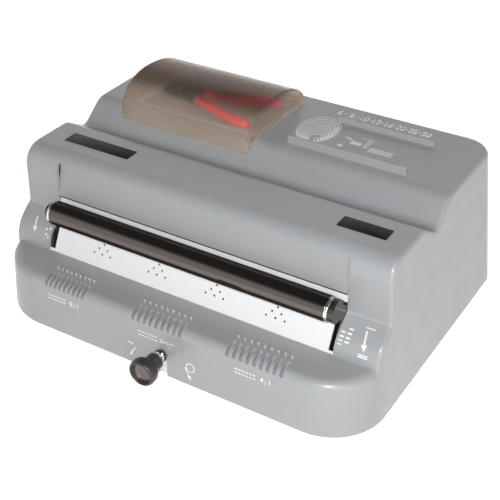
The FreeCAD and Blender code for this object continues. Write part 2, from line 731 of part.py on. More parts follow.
def side_plate(side):
    """Upright frame plate beside an arm slot, with its foot flange turned outwards."""
    front = Y_SCALE + WALL + SIDE_PLATE_FRONT_GAP
    neck = Y_FACE + WALL + SIDE_PLATE_NECK_GAP
    rear = PIVOT.y + SIDE_PLATE_REACH
    outline = [(front, BASE_TOP), (front, SHELF_HEIGHT), (neck, CREASE_HEIGHT + WALL)]
    outline += [(neck, SIDE_PLATE_TOP), (neck + SIDE_PLATE_HEAD, SIDE_PLATE_TOP)]
    outline += [(rear, PIVOT.z + SIDE_PLATE_HEEL), (rear, BASE_TOP)]
    x0 = min(side * SIDE_PLATE_X, side * (SIDE_PLATE_X + SIDE_PLATE_THICKNESS))
    plate = slab(outline, x0, x0 + SIDE_PLATE_THICKNESS)
    f0 = min(side * SIDE_PLATE_X, side * (SIDE_PLATE_X + SIDE_PLATE_FLANGE))
    top = BASE_TOP + SIDE_PLATE_THICKNESS
    middle = (front + neck) / 2
    plate = plate.fuse(box(f0, f0 + SIDE_PLATE_FLANGE, middle, rear, BASE_TOP, top))
    return plate.cut(rod_x(SHAFT_BUSH_RADIUS + FIT, -FAR, FAR, PIVOT))


def shaft_bushes():
    bushes = []
    for side in (-1, 1):
        x0 = min(side * SIDE_PLATE_X, side * (SIDE_PLATE_X + SIDE_PLATE_THICKNESS))
        x1 = x0 + SIDE_PLATE_THICKNESS
        bushes.append(ring_x(SHAFT_BUSH_RADIUS, DRIVE_SHAFT_RADIUS + FIT, x0, x1, PIVOT))
    return Part.makeCompound(bushes)


# Swing arms

def swing_arm(side):
    """Arm blade with the shield that keeps its slot closed as the roller moves."""
    x0 = min(side * ARM_INNER, side * ARM_OUTER)
    x1 = x0 + ARM_THICKNESS
    blade = rod_x(ARM_HUB_RADIUS, x0, x1, PIVOT)
    blade = blade.fuse(bar(PIVOT, ROLLER, ARM_HALF_WIDTH, x0, x1))
    blade = blade.fuse(rod_x(ARM_HALF_WIDTH, x0, x1, ROLLER))
    slot_half = math.degrees(math.atan(0.5 * ARM_LENGTH / PIVOT_TO_PLATE)) / 2
    low = ray(PLATE_LEAN - slot_half - SHIELD_MARGIN)
    high = ray(PLATE_LEAN + slot_half + SWING_ANGLE + SHIELD_MARGIN)
    corners = [PIVOT, PIVOT + low * ARM_LENGTH * 2, PIVOT + high * ARM_LENGTH * 2]
    wedge = slab([(c.y, c.z) for c in corners], x0, x1)
    blade = blade.fuse(wedge.common(rod_x(PIVOT_TO_PLATE - ARM_SHIELD_GAP, x0, x1, PIVOT)))
    if side > 0:
        blade = blade.fuse(rod_x(ARM_BOSS_RADIUS, ROLLER_HALF + SEAM, x1, ROLLER))
    blade = blade.cut(rod_x(DRIVE_SHAFT_RADIUS + BUSH_WALL + FIT, -FAR, FAR, PIVOT))
    blade = blade.cut(rod_x(ROLLER_SHAFT_RADIUS + ROLLER_BUSH_WALL + FIT, -FAR, ROLLER_BORE_END, ROLLER))
    return blade.removeSplitter()


def arm_bushes():
    bushes = []
    for x0 in (-ARM_OUTER, ARM_INNER):
        outer = DRIVE_SHAFT_RADIUS + BUSH_WALL
        bushes.append(ring_x(outer, DRIVE_SHAFT_RADIUS + FIT, x0, x0 + ARM_THICKNESS, PIVOT))
    return Part.makeCompound(bushes)


def roller_bushes():
    outer = ROLLER_SHAFT_RADIUS + ROLLER_BUSH_WALL
    inner = ROLLER_SHAFT_RADIUS + FIT
    left = ring_x(outer, inner, -ARM_OUTER, -ARM_INNER, ROLLER)
    right = ring_x(outer, inner, ROLLER_HALF + SEAM, ROLLER_BORE_END, ROLLER)
    return Part.makeCompound([left, right])


def swing_lever():
    """Two legs on the cross tie that reach down to the pins of the spindle nut."""
    down = ray(SWING_ANGLE / 2 + 90) * -1
    pin = PIVOT + down * LEVER_RADIUS
    lever = ring_x(TIE_RADIUS + LEVER_EYE_WALL, TIE_RADIUS + FIT, KNOB_X - LEVER_X, KNOB_X + LEVER_X, TIE)
    for x0 in (KNOB_X - LEVER_X - LEVER_THICKNESS, KNOB_X + LEVER_X):
        x1 = x0 + LEVER_THICKNESS
        leg = rod_x(ARM_HUB_RADIUS, x0, x1, PIVOT)
        leg = leg.fuse(bar(PIVOT, TIE, LEVER_HALF_WIDTH, x0, x1))
        leg = leg.fuse(rod_x(LEVER_HALF_WIDTH, x0, x1, TIE))
        tip = pin + down * (NUT_PIN_RADIUS + LEVER_TIP)
        leg = leg.fuse(bar(PIVOT, tip, LEVER_HALF_WIDTH, x0, x1))
        slot_start = pin - down * (NUT_PIN_RADIUS + LEVER_SLOT_ROOM)
        slot_end = pin + down * 4 * NUT_PIN_RADIUS
        leg = leg.cut(bar(slot_start, slot_end, NUT_PIN_RADIUS + LEVER_SLOT_PLAY, x0, x1))
        leg = leg.cut(rod_x(TIE_RADIUS + FIT, x0, x1, TIE))
        lever = lever.fuse(leg.cut(rod_x(DRIVE_SHAFT_RADIUS + LEVER_CLEARANCE, x0, x1, PIVOT)))
    return lever.removeSplitter()


# Roller

def roller_core():
    drum = rod_x(ROLLER_CORE_RADIUS, -ROLLER_HALF, ROLLER_HALF, ROLLER)
    shaft = rod_x(ROLLER_SHAFT_RADIUS, -ARM_OUTER, ROLLER_BORE_END - SEAM, ROLLER)
    return drum.fuse(shaft).removeSplitter()


def roller_sleeve():
    half = ROLLER_HALF - END_RING_WIDTH
    return ring_x(ROLLER_RADIUS, ROLLER_CORE_RADIUS + FIT, -half, half, ROLLER)


def end_ring(side):
    x0 = min(side * ROLLER_HALF, side * (ROLLER_HALF - END_RING_WIDTH))
    radius = ROLLER_RADIUS - END_RING_STEP
    ring = ring_x(radius, ROLLER_CORE_RADIUS + FIT, x0, x0 + END_RING_WIDTH, ROLLER)
    flat = [e for e in ring.Edges if e.BoundBox.XLength < 0.01]
    rims = [e for e in flat if e.BoundBox.ZLength > 2 * radius - 0.01]
    outer = [e for e in rims if abs(e.CenterOfMass.x) > ROLLER_HALF - END_RING_WIDTH / 2]
    return ring.makeFillet(END_RING_WIDTH / 3, outer)


def roller_pulley():
    bore = ROLLER_SHAFT_RADIUS + FIT
    hub = ring_x(ARM_BOSS_RADIUS, bore, -ARM_PULLEY_INNER, -ROLLER_HALF, ROLLER)
    return hub.fuse(ring_x(ROLLER_PULLEY_RADIUS, bore, -ARM_PULLEY_OUTER, -ARM_PULLEY_INNER, ROLLER))


# Drive

def belt(first, radius_1, second, radius_2, x, width):
    inner = loop(first, radius_1 + BELT_GAP, second, radius_2 + BELT_GAP, x - width / 2, x + width / 2)
    step = BELT_GAP + BELT_THICKNESS
    outer = loop(first, radius_1 + step, second, radius_2 + step, x - width / 2, x + width / 2)
    return outer.cut(inner)


def pulley(radius, bore, x, width, at):
    return ring_x(radius, bore, x - width / 2, x + width / 2, at)


def motor_body():
    x0 = MOTOR_BRACKET_X + SHEET + GEARBOX_LENGTH
    can = rod_x(MOTOR_RADIUS, x0, x0 + MOTOR_LENGTH, MOTOR)
    rims = [e for e in can.Edges if e.BoundBox.XLength < 0.01]
    return can.makeFillet(MOTOR_EDGE_RADIUS, rims)


def gearbox():
    x0 = MOTOR_BRACKET_X + SHEET
    body = rod_x(GEARBOX_RADIUS, x0, x0 + GEARBOX_LENGTH, MOTOR)
    return body.cut(rod_x(MOTOR_SHAFT_RADIUS + FIT, x0, x0 + MOTOR_SHAFT_DEPTH, MOTOR))


def motor_shaft():
    x0 = DRIVE_PULLEY_X - DRIVE_PULLEY_WIDTH / 2
    return rod_x(MOTOR_SHAFT_RADIUS, x0, MOTOR_BRACKET_X + SHEET + MOTOR_SHAFT_DEPTH - FIT, MOTOR)


def motor_bracket():
    x0 = MOTOR_BRACKET_X
    half = GEARBOX_RADIUS + MOTOR_BRACKET_MARGIN
    plate = box(x0, x0 + SHEET, MOTOR.y - half, MOTOR.y + half, BASE_TOP, MOTOR.z + half)
    foot_x = x0 + MOTOR_BRACKET_FOOT
    plate = plate.fuse(box(x0, foot_x, MOTOR.y - half, MOTOR.y + half, BASE_TOP, BASE_TOP + SHEET))
    return plate.cut(rod_x(MOTOR_BRACKET_HOLE, x0, x0 + SHEET, MOTOR))


# Knob and spindle

def knob():
    """Round-headed knob with a dished front, turned about the spindle axis."""
    front = -KNOB_REACH
    back = front + KNOB_HEAD_LENGTH
    dish = front + KNOB_DISH
    points = [(0, dish), (KNOB_RADIUS - KNOB_RIM - KNOB_DISH, dish), (KNOB_RADIUS - KNOB_RIM, front)]
    points += [(KNOB_RADIUS - KNOB_RIM / 2, front), (KNOB_RADIUS, front + KNOB_RIM)]
    points += [(KNOB_RADIUS, back - 2 * KNOB_RIM), (KNOB_RADIUS - KNOB_RIM, back - KNOB_RIM / 2)]
    points += [(KNOB_NECK_RADIUS, back), (KNOB_NECK_RADIUS, -KNOB_NECK_GAP), (0, -KNOB_NECK_GAP)]
    corners = [V(KNOB_X + r, y, KNOB_Z) for r, y in points]
    outline = Part.makePolygon(corners + corners[:1])
    body = Part.Face(outline).revolve(V(KNOB_X, 0, KNOB_Z), V(0, 1, 0), 360)
    return body.cut(rod_y(SPINDLE_RADIUS + FIT, KNOB_X, front + KNOB_CAP, 0, KNOB_Z))


def front_bracket_y():
    return WALL + FRONT_DRAFT * FRONT_BRACKET_TOP + FRONT_BRACKET_GAP


def rear_bracket_y():
    return PIVOT.y + LEVER_RADIUS * math.sin(math.radians(SWING_ANGLE / 2)) + NUT_HALF + NUT_END_GAP


def spindle():
    return rod_y(SPINDLE_RADIUS, KNOB_X, -KNOB_REACH + KNOB_CAP + FIT, rear_bracket_y() + SHEET, KNOB_Z)


def spindle_collar():
    ring = rod_y(COLLAR_RADIUS, KNOB_X, -COLLAR_WIDTH - SEAM, -SEAM, KNOB_Z)
    return ring.cut(rod_y(SPINDLE_RADIUS + FIT, KNOB_X, -FAR, FAR, KNOB_Z))


def spindle_nut():
    block = box(KNOB_X - NUT_HALF, KNOB_X + NUT_HALF, NUT_Y - NUT_HALF, NUT_Y + NUT_HALF,
                KNOB_Z - NUT_HALF, KNOB_Z + NUT_HALF)
    reach = LEVER_X + LEVER_THICKNESS + NUT_PIN_END
    block = block.fuse(rod_x(NUT_PIN_RADIUS, KNOB_X - reach, KNOB_X + reach, V(0, NUT_Y, KNOB_Z)))
    return block.cut(rod_y(SPINDLE_RADIUS + FIT, KNOB_X, 0, FAR, KNOB_Z))


def spindle_bracket(y0, half_width, height):
    x0 = KNOB_X - half_width
    x1 = KNOB_X + half_width
    plate = box(x0, x1, y0, y0 + SHEET, BASE_TOP, height)
    return plate.fuse(box(x0, x1, y0, y0 + SPINDLE_BRACKET_FOOT, BASE_TOP, BASE_TOP + SHEET))


def front_bracket():
    plate = spindle_bracket(front_bracket_y(), FRONT_BRACKET_HALF, FRONT_BRACKET_TOP)
    return plate.cut(rod_y(SPINDLE_RADIUS + BUSH_WALL + FIT, KNOB_X, -FAR, FAR, KNOB_Z))


def spindle_bush():
    y0 = front_bracket_y()
    bush = rod_y(SPINDLE_RADIUS + BUSH_WALL, KNOB_X, y0, y0 + SPINDLE_BUSH_LENGTH, KNOB_Z)
    return bush.cut(rod_y(SPINDLE_RADIUS + FIT, KNOB_X, -FAR, FAR, KNOB_Z))


def rear_bracket():
    plate = spindle_bracket(rear_bracket_y(), REAR_BRACKET_HALF, KNOB_Z + REAR_BRACKET_RISE)
    return plate.cut(rod_y(SPINDLE_RADIUS + FIT, KNOB_X, -FAR, FAR, KNOB_Z))


# Tool compartment

def lid_dome(inset, x0, x1):
    """Arched block of the lid, drawn in by inset; its foot reaches below the cover's top."""
    front = Y_TIER3 - LID_FRONT_OVERHANG
    crown_y = front + LID_FRONT_ARC
    crown_z = TIER3_HEIGHT + LID_CROWN_RISE
    spring_z = crown_z - LID_FRONT_RISE
    foot = TIER3_HEIGHT - 3 * LID_SKIRT
    low_front = V(x0, front + inset, foot)
    spring = V(x0, front + inset, spring_z)
    crown = V(x0, crown_y, crown_z - inset)
    tail = V(x0, LID_REAR - inset, TIER3_HEIGHT)
    low_rear = V(x0, LID_REAR - inset, foot)
    brow = Part.ArcOfEllipse(Part.Ellipse(spring, crown, V(x0, crown_y, spring_z)), 0, math.pi / 2)
    slope = Part.ArcOfEllipse(Part.Ellipse(tail, crown, V(x0, crown_y, TIER3_HEIGHT)), 0, math.pi / 2)
    edges = [Part.makeLine(low_front, spring), brow.toShape()]
    edges += [slope.toShape(), Part.makeLine(tail, low_rear), Part.makeLine(low_rear, low_front)]
    return Part.Face(Part.Wire(edges)).extrude(V(x1 - x0, 0, 0))


def tool_lid():
    lid = lid_dome(0, LID_X0, LID_X1)
    corners = [e for e in lid.Edges if abs(e.BoundBox.XLength) < 0.01 and e.BoundBox.ZMax > TIER3_HEIGHT]
    lid = lid.makeFillet(LID_EDGE_RADIUS, corners)
    lid = lid.cut(lid_dome(LID_WALL, LID_X0 + LID_WALL, LID_X1 - LID_WALL))
    below = Part.Face(profile(SKIRT_Z, LID_X0 - OVERCUT)).makeOffset2D(LID_GAP)
    lid = lid.cut(below.extrude(V(LID_WIDTH + 2 * OVERCUT, 0, 0)))
    x0 = LID_X0 - OVERCUT
    x1 = LID_X1 + OVERCUT
    lid = lid.cut(box(x0, x1, -FAR, FAR, -FAR, TIER3_HEIGHT - LID_SKIRT))
    foot = HINGE.z - HINGE_RADIUS + 2 * LID_GAP
    lid = lid.cut(box(x0, x1, HINGE.y - HINGE_RELIEF, FAR, -FAR, foot))
    lid = lid.fuse(rod_x(HINGE_RADIUS, HINGE_X0, HINGE_X1, HINGE))
    for x0 in (HINGE_X0 - 2 * HINGE_SIDE_GAP - HINGE_EAR_WIDTH, HINGE_X1):
        x1 = x0 + HINGE_EAR_WIDTH + 2 * HINGE_SIDE_GAP
        room = HINGE_RADIUS + 2 * HINGE_SIDE_GAP
        lid = lid.cut(rod_x(room, x0, x1, HINGE))
        lid = lid.cut(box(x0, x1, HINGE.y - room, FAR, -FAR, HINGE.z))
    return lid.cut(rod_x(HINGE_PIN_RADIUS + FIT, -FAR, FAR, HINGE))


def hinge_pin():
    reach = HINGE_SIDE_GAP + HINGE_EAR_WIDTH
    return rod_x(HINGE_PIN_RADIUS, HINGE_X0 - reach, HINGE_X1 + reach, HINGE)


def tool_tray():
    flange = box(TRAY_X0 - TRAY_FLANGE, TRAY_X1 + TRAY_FLANGE, TRAY_Y0 - TRAY_FLANGE, TRAY_Y1 + TRAY_FLANGE,
                 TIER3_HEIGHT, TIER3_HEIGHT + TRAY_FLANGE_THICKNESS)
    tub = box(TRAY_X0, TRAY_X1, TRAY_Y0, TRAY_Y1, TRAY_FLOOR - TRAY_WALL, TIER3_HEIGHT)
    inside = box(TRAY_X0 + TRAY_WALL, TRAY_X1 - TRAY_WALL, TRAY_Y0 + TRAY_WALL, TRAY_Y1 - TRAY_WALL,
                 TRAY_FLOOR, FAR)
    return flange.fuse(tub).removeSplitter().cut(inside)


def plier_pivot():
    return V(TRAY_X0 + TRAY_WALL + PLIER_END_GAP + PLIER_JAW, (TRAY_Y0 + TRAY_Y1) / 2,
             TRAY_FLOOR + FIT + PLIER_GRIP_RADIUS)


def plier_handle_length():
    return TRAY_X1 - TRAY_WALL - PLIER_END_GAP - plier_pivot().x


def flat_bar(start, direction, length, width, z0, z1):
    """Flat bar lying in a level plane, from a start point along a direction."""
    side = V(-direction.y, direction.x, 0) * (width / 2)
    end = start + direction * length
    corners = [start + side, end + side, end - side, start - side]
    corners = [V(c.x, c.y, z0) for c in corners]
    return Part.Face(Part.makePolygon(corners + corners[:1])).extrude(V(0, 0, z1 - z0))


def level_ray(angle):
    a = math.radians(angle)
    return V(math.cos(a), math.sin(a), 0)


def plier_half(side):
    """One steel half of the coil crimpers: jaw, rivet eye and bar for the grip."""
    at = plier_pivot()
    z0 = at.z - PLIER_BAR_THICKNESS if side < 0 else at.z + FIT
    z1 = z0 + PLIER_BAR_THICKNESS - FIT
    half = rod_z(PLIER_EYE_RADIUS, at.x, at.y, z0, z1)
    length = plier_handle_length() - PLIER_GRIP_RADIUS
    half = half.fuse(flat_bar(at, level_ray(side * PLIER_SPREAD), length, PLIER_BAR_WIDTH, z0, z1))
    jaw = level_ray(180 + side * PLIER_JAW_SPREAD)
    half = half.fuse(flat_bar(at, jaw, PLIER_JAW, PLIER_JAW_WIDTH, z0, z1))
    eye = rod_z(PLIER_RIVET_RADIUS + FIT, at.x, at.y, z0 - OVERCUT, z1 + OVERCUT)
    return half.cut(eye).removeSplitter()


def plier_grip(side):
    at = plier_pivot()
    direction = level_ray(side * PLIER_SPREAD)
    length = plier_handle_length() - PLIER_GRIP_START - PLIER_GRIP_RADIUS
    grip = Part.makeCylinder(PLIER_GRIP_RADIUS, length, at + direction * PLIER_GRIP_START, direction)
    grip = grip.fuse(Part.makeSphere(PLIER_GRIP_RADIUS, at + direction * (PLIER_GRIP_START + length)))
    z0 = at.z - PLIER_BAR_THICKNESS - FIT if side < 0 else at.z
    reach = plier_handle_length() - PLIER_GRIP_RADIUS + FIT
    slot = flat_bar(at, direction, reach, PLIER_BAR_WIDTH + 2 * FIT, z0, z0 + PLIER_BAR_THICKNESS + FIT)
    return grip.cut(slot)


def plier_rivet():
    at = plier_pivot()
    z0 = at.z - PLIER_BAR_THICKNESS
    return rod_z(PLIER_RIVET_RADIUS, at.x, at.y, z0, at.z + PLIER_BAR_THICKNESS)


# Rear connections, electronics and labels

def rear_panel():
    y0 = REAR_PANEL_Y - SHEET
    plate = box(REAR_PANEL_X0, REAR_PANEL_X1, y0, REAR_PANEL_Y, BASE_TOP, REAR_PANEL_TOP)
    foot_y = REAR_PANEL_Y - REAR_PANEL_FOOT
    plate = plate.fuse(box(REAR_PANEL_X0, REAR_PANEL_X1, foot_y, REAR_PANEL_Y, BASE_TOP, BASE_TOP + SHEET))
    front = y0 - OVERCUT
    rear = REAR_PANEL_Y + OVERCUT
    cuts = [centred(INLET_X, INLET_WIDTH, INLET_HEIGHT, front, rear, FIT)]
    cuts.append(centred(SWITCH_X, SWITCH_WIDTH, SWITCH_HEIGHT, front, rear, FIT))
    cuts.append(rod_y(JACK_NECK_RADIUS + FIT, JACK_X, front, rear, CONNECTOR_Z))
    return plate.cut(cuts)


def centred(x, width, height, y0, y1, grow):
    """Block about the connectors' height, centred on x and grown on every side."""
    half = width / 2 + grow
    return box(x - half, x + half, y0, y1, CONNECTOR_Z - height / 2 - grow, CONNECTOR_Z + height / 2 + grow)


def power_inlet():
    y1 = REAR_PANEL_Y + SHEET
    y0 = y1 - INLET_DEPTH - INLET_BACK
    body = centred(INLET_X, INLET_WIDTH, INLET_HEIGHT, y0, y1, 0)
    body = body.fuse(centred(INLET_X, INLET_WIDTH, INLET_HEIGHT, REAR_PANEL_Y, y1, INLET_FLANGE))
    floor = y1 - INLET_DEPTH
    body = body.cut(centred(INLET_X, INLET_WIDTH, INLET_HEIGHT, floor, y1 + OVERCUT, -INLET_WALL))
    for i in (-1, 0, 1):
        x0 = INLET_X + i * BLADE_PITCH - BLADE_WIDTH / 2
        rise = -BLADE_OFFSET if i else BLADE_OFFSET
        z0 = CONNECTOR_Z + rise - BLADE_HEIGHT / 2
        blade = box(x0, x0 + BLADE_WIDTH, floor - OVERCUT, floor + BLADE_LENGTH, z0, z0 + BLADE_HEIGHT)
        body = body.fuse(blade)
    return body


def rocker_axis():
    return V(0, REAR_PANEL_Y - ROCKER_SETBACK, CONNECTOR_Z)


def switch_frame():
    y1 = REAR_PANEL_Y + SHEET
    body = centred(SWITCH_X, SWITCH_WIDTH, SWITCH_HEIGHT, y1 - SWITCH_DEPTH, y1, 0)
    body = body.fuse(centred(SWITCH_X, SWITCH_WIDTH, SWITCH_HEIGHT, REAR_PANEL_Y, y1, SWITCH_FLANGE))
    half = ROCKER_HALF + ROCKER_PLAY
    room = ROCKER_RADIUS + ROCKER_PLAY
    body = body.cut(rod_x(room, SWITCH_X - half, SWITCH_X + half, rocker_axis()))
    mouth = centred(SWITCH_X, 2 * half, 2 * room, rocker_axis().y, y1 + OVERCUT, 0)
    pin = rod_x(ROCKER_PIN_RADIUS - FIT, SWITCH_X - half, SWITCH_X + half, rocker_axis())
    return body.cut(mouth).fuse(pin)


def switch_rocker():
    """Drum section with a dished face, resting tipped towards one side."""
    x0 = SWITCH_X - ROCKER_HALF
    x1 = SWITCH_X + ROCKER_HALF
    drum = rod_x(ROCKER_RADIUS, x0, x1, rocker_axis())
    y = rocker_axis().y + ROCKER_RADIUS
    z = CONNECTOR_Z
    rise = ROCKER_RADIUS + ROCKER_DISH
    dish = [(y - ROCKER_DISH, z), (y, z + rise), (y + rise, z + rise), (y + rise, z - rise), (y, z - rise)]
    drum = drum.cut(slab(dish, x0 - OVERCUT, x1 + OVERCUT))
    drum = drum.cut(rod_x(ROCKER_PIN_RADIUS, x0, x1, rocker_axis()))
    drum.rotate(rocker_axis(), V(1, 0, 0), -ROCKER_TILT)
    return drum


def pedal_jack():
    y1 = REAR_PANEL_Y + JACK_PROUD
    body = rod_y(JACK_NECK_RADIUS, JACK_X, y1 - JACK_DEPTH - JACK_BACK, y1, CONNECTOR_Z)
    body = body.fuse(rod_y(JACK_RADIUS, JACK_X, REAR_PANEL_Y, y1, CONNECTOR_Z))
    return body.cut(rod_y(JACK_BORE_RADIUS, JACK_X, y1 - JACK_DEPTH, y1 + OVERCUT, CONNECTOR_Z))


def board_box(z0, height, x0, x1, y0, y1):
    """Block over the circuit board; x and y run from the board's front left corner."""
    left = BOARD_X - BOARD_WIDTH / 2
    front = REAR_PANEL_Y - BOARD_REAR_GAP - BOARD_LENGTH
    return box(left + x0, left + x1, front + y0, front + y1, z0, z0 + height)


def circuit_board():
    return board_box(BASE_TOP + BOARD_STANDOFF, BOARD_THICKNESS, 0, BOARD_WIDTH, 0, BOARD_LENGTH)


def board_parts():
    """Relay, terminal row and capacitor on the right half of the circuit board."""
    x0 = BOARD_WIDTH / 2 + BOARD_PART_GAP
    y0 = BOARD_PART_GAP
    relay = board_box(BOARD_TOP, RELAY_HEIGHT, x0, x0 + RELAY_LENGTH, y0, y0 + RELAY_WIDTH)
    y1 = BOARD_LENGTH - BOARD_PART_GAP
    row = board_box(BOARD_TOP, TERMINALS_HEIGHT, x0, x0 + TERMINALS_LENGTH, y1 - TERMINALS_WIDTH, y1)
    x = BOARD_X - BOARD_WIDTH / 2 + x0 + RELAY_LENGTH + BOARD_PART_GAP + CAPACITOR_RADIUS
    y = REAR_PANEL_Y - BOARD_REAR_GAP - BOARD_LENGTH + y0 + CAPACITOR_RADIUS
    capacitor = rod_z(CAPACITOR_RADIUS, x, y, BOARD_TOP, BOARD_TOP + CAPACITOR_HEIGHT)
    return Part.makeCompound([relay, row, capacitor])


def transformer():
    x0 = TRANSFORMER_INSET
    x1 = x0 + TRANSFORMER_SIZE
    y0 = (BOARD_LENGTH - TRANSFORMER_SIZE) / 2
    y1 = y0 + TRANSFORMER_SIZE
    core = board_box(BOARD_TOP, TRANSFORMER_SIZE, x0, x1, y0, y1)
    step = TRANSFORMER_BOBBIN
    bobbin = board_box(BOARD_TOP + step, TRANSFORMER_SIZE - 2 * step, x0, x1, y0 - step, y1 + step)
    return core.fuse(bobbin)


def label(x0, width):
    y0 = Y_FACE + LABEL_OFFSET
    return box(x0, x0 + width, y0, y0 + LABEL_DEPTH, TIER2_HEIGHT, TIER2_HEIGHT + LABEL_THICKNESS)


save("cover_shell", cover_shell())
save("front_panel", front_panel())
save("coil_plate", coil_plate())
save("base_plate", base_plate())
for name, (x, y) in foot_places().items():
    save("foot_" + name, foot(x, y))
save("cover_screws", cover_screws())
save("side_plate_left", side_plate(-1))
save("side_plate_right", side_plate(1))
save("shaft_bushes", shaft_bushes())
save("arm_left", swing_arm(-1))
save("arm_right", swing_arm(1))
save("arm_bushes", arm_bushes())
save("roller_bushes", roller_bushes())
save("cross_tie", rod_x(TIE_RADIUS, -ARM_INNER, ARM_INNER, TIE))
save("swing_lever", swing_lever())
save("roller_core", roller_core())
save("roller_sleeve", roller_sleeve())
save("roller_ring_left", end_ring(-1))
save("roller_ring_right", end_ring(1))
save("roller_pulley", roller_pulley())
shaft_end = SIDE_PLATE_X + SIDE_PLATE_THICKNESS + SHAFT_PROUD
save("drive_shaft", rod_x(DRIVE_SHAFT_RADIUS, -shaft_end, shaft_end, PIVOT))
lane = -(ARM_PULLEY_INNER + ARM_PULLEY_OUTER) / 2
bore = DRIVE_SHAFT_RADIUS + FIT
save("lay_pulley", pulley(LAY_PULLEY_RADIUS, bore, lane, ARM_PULLEY_WIDTH, PIVOT))
save("arm_belt", belt(PIVOT, LAY_PULLEY_RADIUS, ROLLER, ROLLER_PULLEY_RADIUS, lane, ARM_BELT_WIDTH))
lane = DRIVE_PULLEY_X
save("drive_pulley", pulley(DRIVE_PULLEY_RADIUS, bore, lane, DRIVE_PULLEY_WIDTH, PIVOT))
bore = MOTOR_SHAFT_RADIUS + FIT
save("motor_pulley", pulley(MOTOR_PULLEY_RADIUS, bore, lane, DRIVE_PULLEY_WIDTH, MOTOR))
save("motor_belt", belt(PIVOT, DRIVE_PULLEY_RADIUS, MOTOR, MOTOR_PULLEY_RADIUS, lane, DRIVE_BELT_WIDTH))
save("motor_body", motor_body())
save("gearbox", gearbox())
save("motor_shaft", motor_shaft())
save("motor_bracket", motor_bracket())
save("knob", knob())
save("spindle", spindle())
save("spindle_collar", spindle_collar())
save("spindle_nut", spindle_nut())
save("spindle_front_bracket", front_bracket())
save("spindle_bush", spindle_bush())
save("spindle_rear_bracket", rear_bracket())
save("tool_lid", tool_lid())
save("lid_hinge_pin", hinge_pin())
save("tool_tray", tool_tray())
for side, name in ((-1, "front"), (1, "rear")):
    save("plier_half_" + name, plier_half(side))
    save("plier_grip_" + name, plier_grip(side))
save("plier_rivet", plier_rivet())
save("rear_panel", rear_panel())
save("power_inlet", power_inlet())
save("switch_frame", switch_frame())
save("switch_rocker", switch_rocker())
save("pedal_jack", pedal_jack())
save("circuit_board", circuit_board())
save("board_parts", board_parts())
save("transformer", transformer())
save("label_left", label(LABEL_LEFT_SIDE - COVER_WIDTH / 2, LABEL_LEFT_WIDTH))
save("label_right", label(COVER_WIDTH / 2 - LABEL_RIGHT_SIDE - LABEL_RIGHT_WIDTH, LABEL_RIGHT_WIDTH))
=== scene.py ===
# %% [markdown]
# # A desk-top coil inserter
# The machine spins a plastic spiral through the holes of a punched book. Its solids come
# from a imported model, which is loaded as a fixed frame. This lesson dresses that frame:
# first the camera and the light, then a finish for every surface, then the small pieces
# that give the machine its look: knob, pliers, plates, feet, studs and print.

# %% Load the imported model
import json
import math

import bpy
from mathutils import Matrix, Vector


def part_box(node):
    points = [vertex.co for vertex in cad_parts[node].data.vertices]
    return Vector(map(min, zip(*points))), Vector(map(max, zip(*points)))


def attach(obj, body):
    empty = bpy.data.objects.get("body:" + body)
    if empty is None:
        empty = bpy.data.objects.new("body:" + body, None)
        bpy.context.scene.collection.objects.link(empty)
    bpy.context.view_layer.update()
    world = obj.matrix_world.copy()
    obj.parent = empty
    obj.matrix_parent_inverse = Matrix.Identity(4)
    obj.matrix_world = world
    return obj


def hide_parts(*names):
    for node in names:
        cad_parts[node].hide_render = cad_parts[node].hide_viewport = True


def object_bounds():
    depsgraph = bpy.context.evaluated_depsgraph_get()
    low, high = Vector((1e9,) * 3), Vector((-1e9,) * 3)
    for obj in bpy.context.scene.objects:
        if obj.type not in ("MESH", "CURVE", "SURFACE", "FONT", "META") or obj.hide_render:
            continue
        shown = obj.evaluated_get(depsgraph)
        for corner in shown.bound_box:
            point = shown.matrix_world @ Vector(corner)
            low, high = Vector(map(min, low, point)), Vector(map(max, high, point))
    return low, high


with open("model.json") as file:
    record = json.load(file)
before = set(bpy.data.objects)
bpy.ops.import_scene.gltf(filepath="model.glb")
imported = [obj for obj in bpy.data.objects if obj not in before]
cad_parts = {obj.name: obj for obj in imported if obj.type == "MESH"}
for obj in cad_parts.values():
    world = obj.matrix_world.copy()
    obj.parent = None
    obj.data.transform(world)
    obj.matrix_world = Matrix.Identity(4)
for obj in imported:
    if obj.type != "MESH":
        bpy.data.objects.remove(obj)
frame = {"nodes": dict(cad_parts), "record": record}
nodes = frame["nodes"]
cad_low, cad_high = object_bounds()
MM = 0.001
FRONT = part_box("cover_shell")[0].y


def at(x, y, z):
    """Place in metres from millimetres: y runs back from the front edge of the cover."""
    return Vector((x * MM, FRONT + y * MM, z * MM))


print("loaded", len(nodes), "nodes in a box of", [round(v / MM, 1) for v in cad_high - cad_low], "mm")

# %% [markdown]
# ## Camera
# The photograph was taken from the right front, looking down at the desk. A camera can be
# dragged into place by eye, but its direction is known here, so its matrix is written from
# the azimuth, the elevation and a very small roll. The lens belongs to a 36 mm sensor.

# %% Place the camera
CAMERA_PLACE = at(442.8, -563.2, 604.5)
CAMERA_AZIMUTH = math.radians(31.70)
CAMERA_ELEVATION = math.radians(33.75)
CAMERA_ROLL = math.radians(-0.28)
CAMERA_LENS = 77.3
SENSOR_WIDTH = 36.0

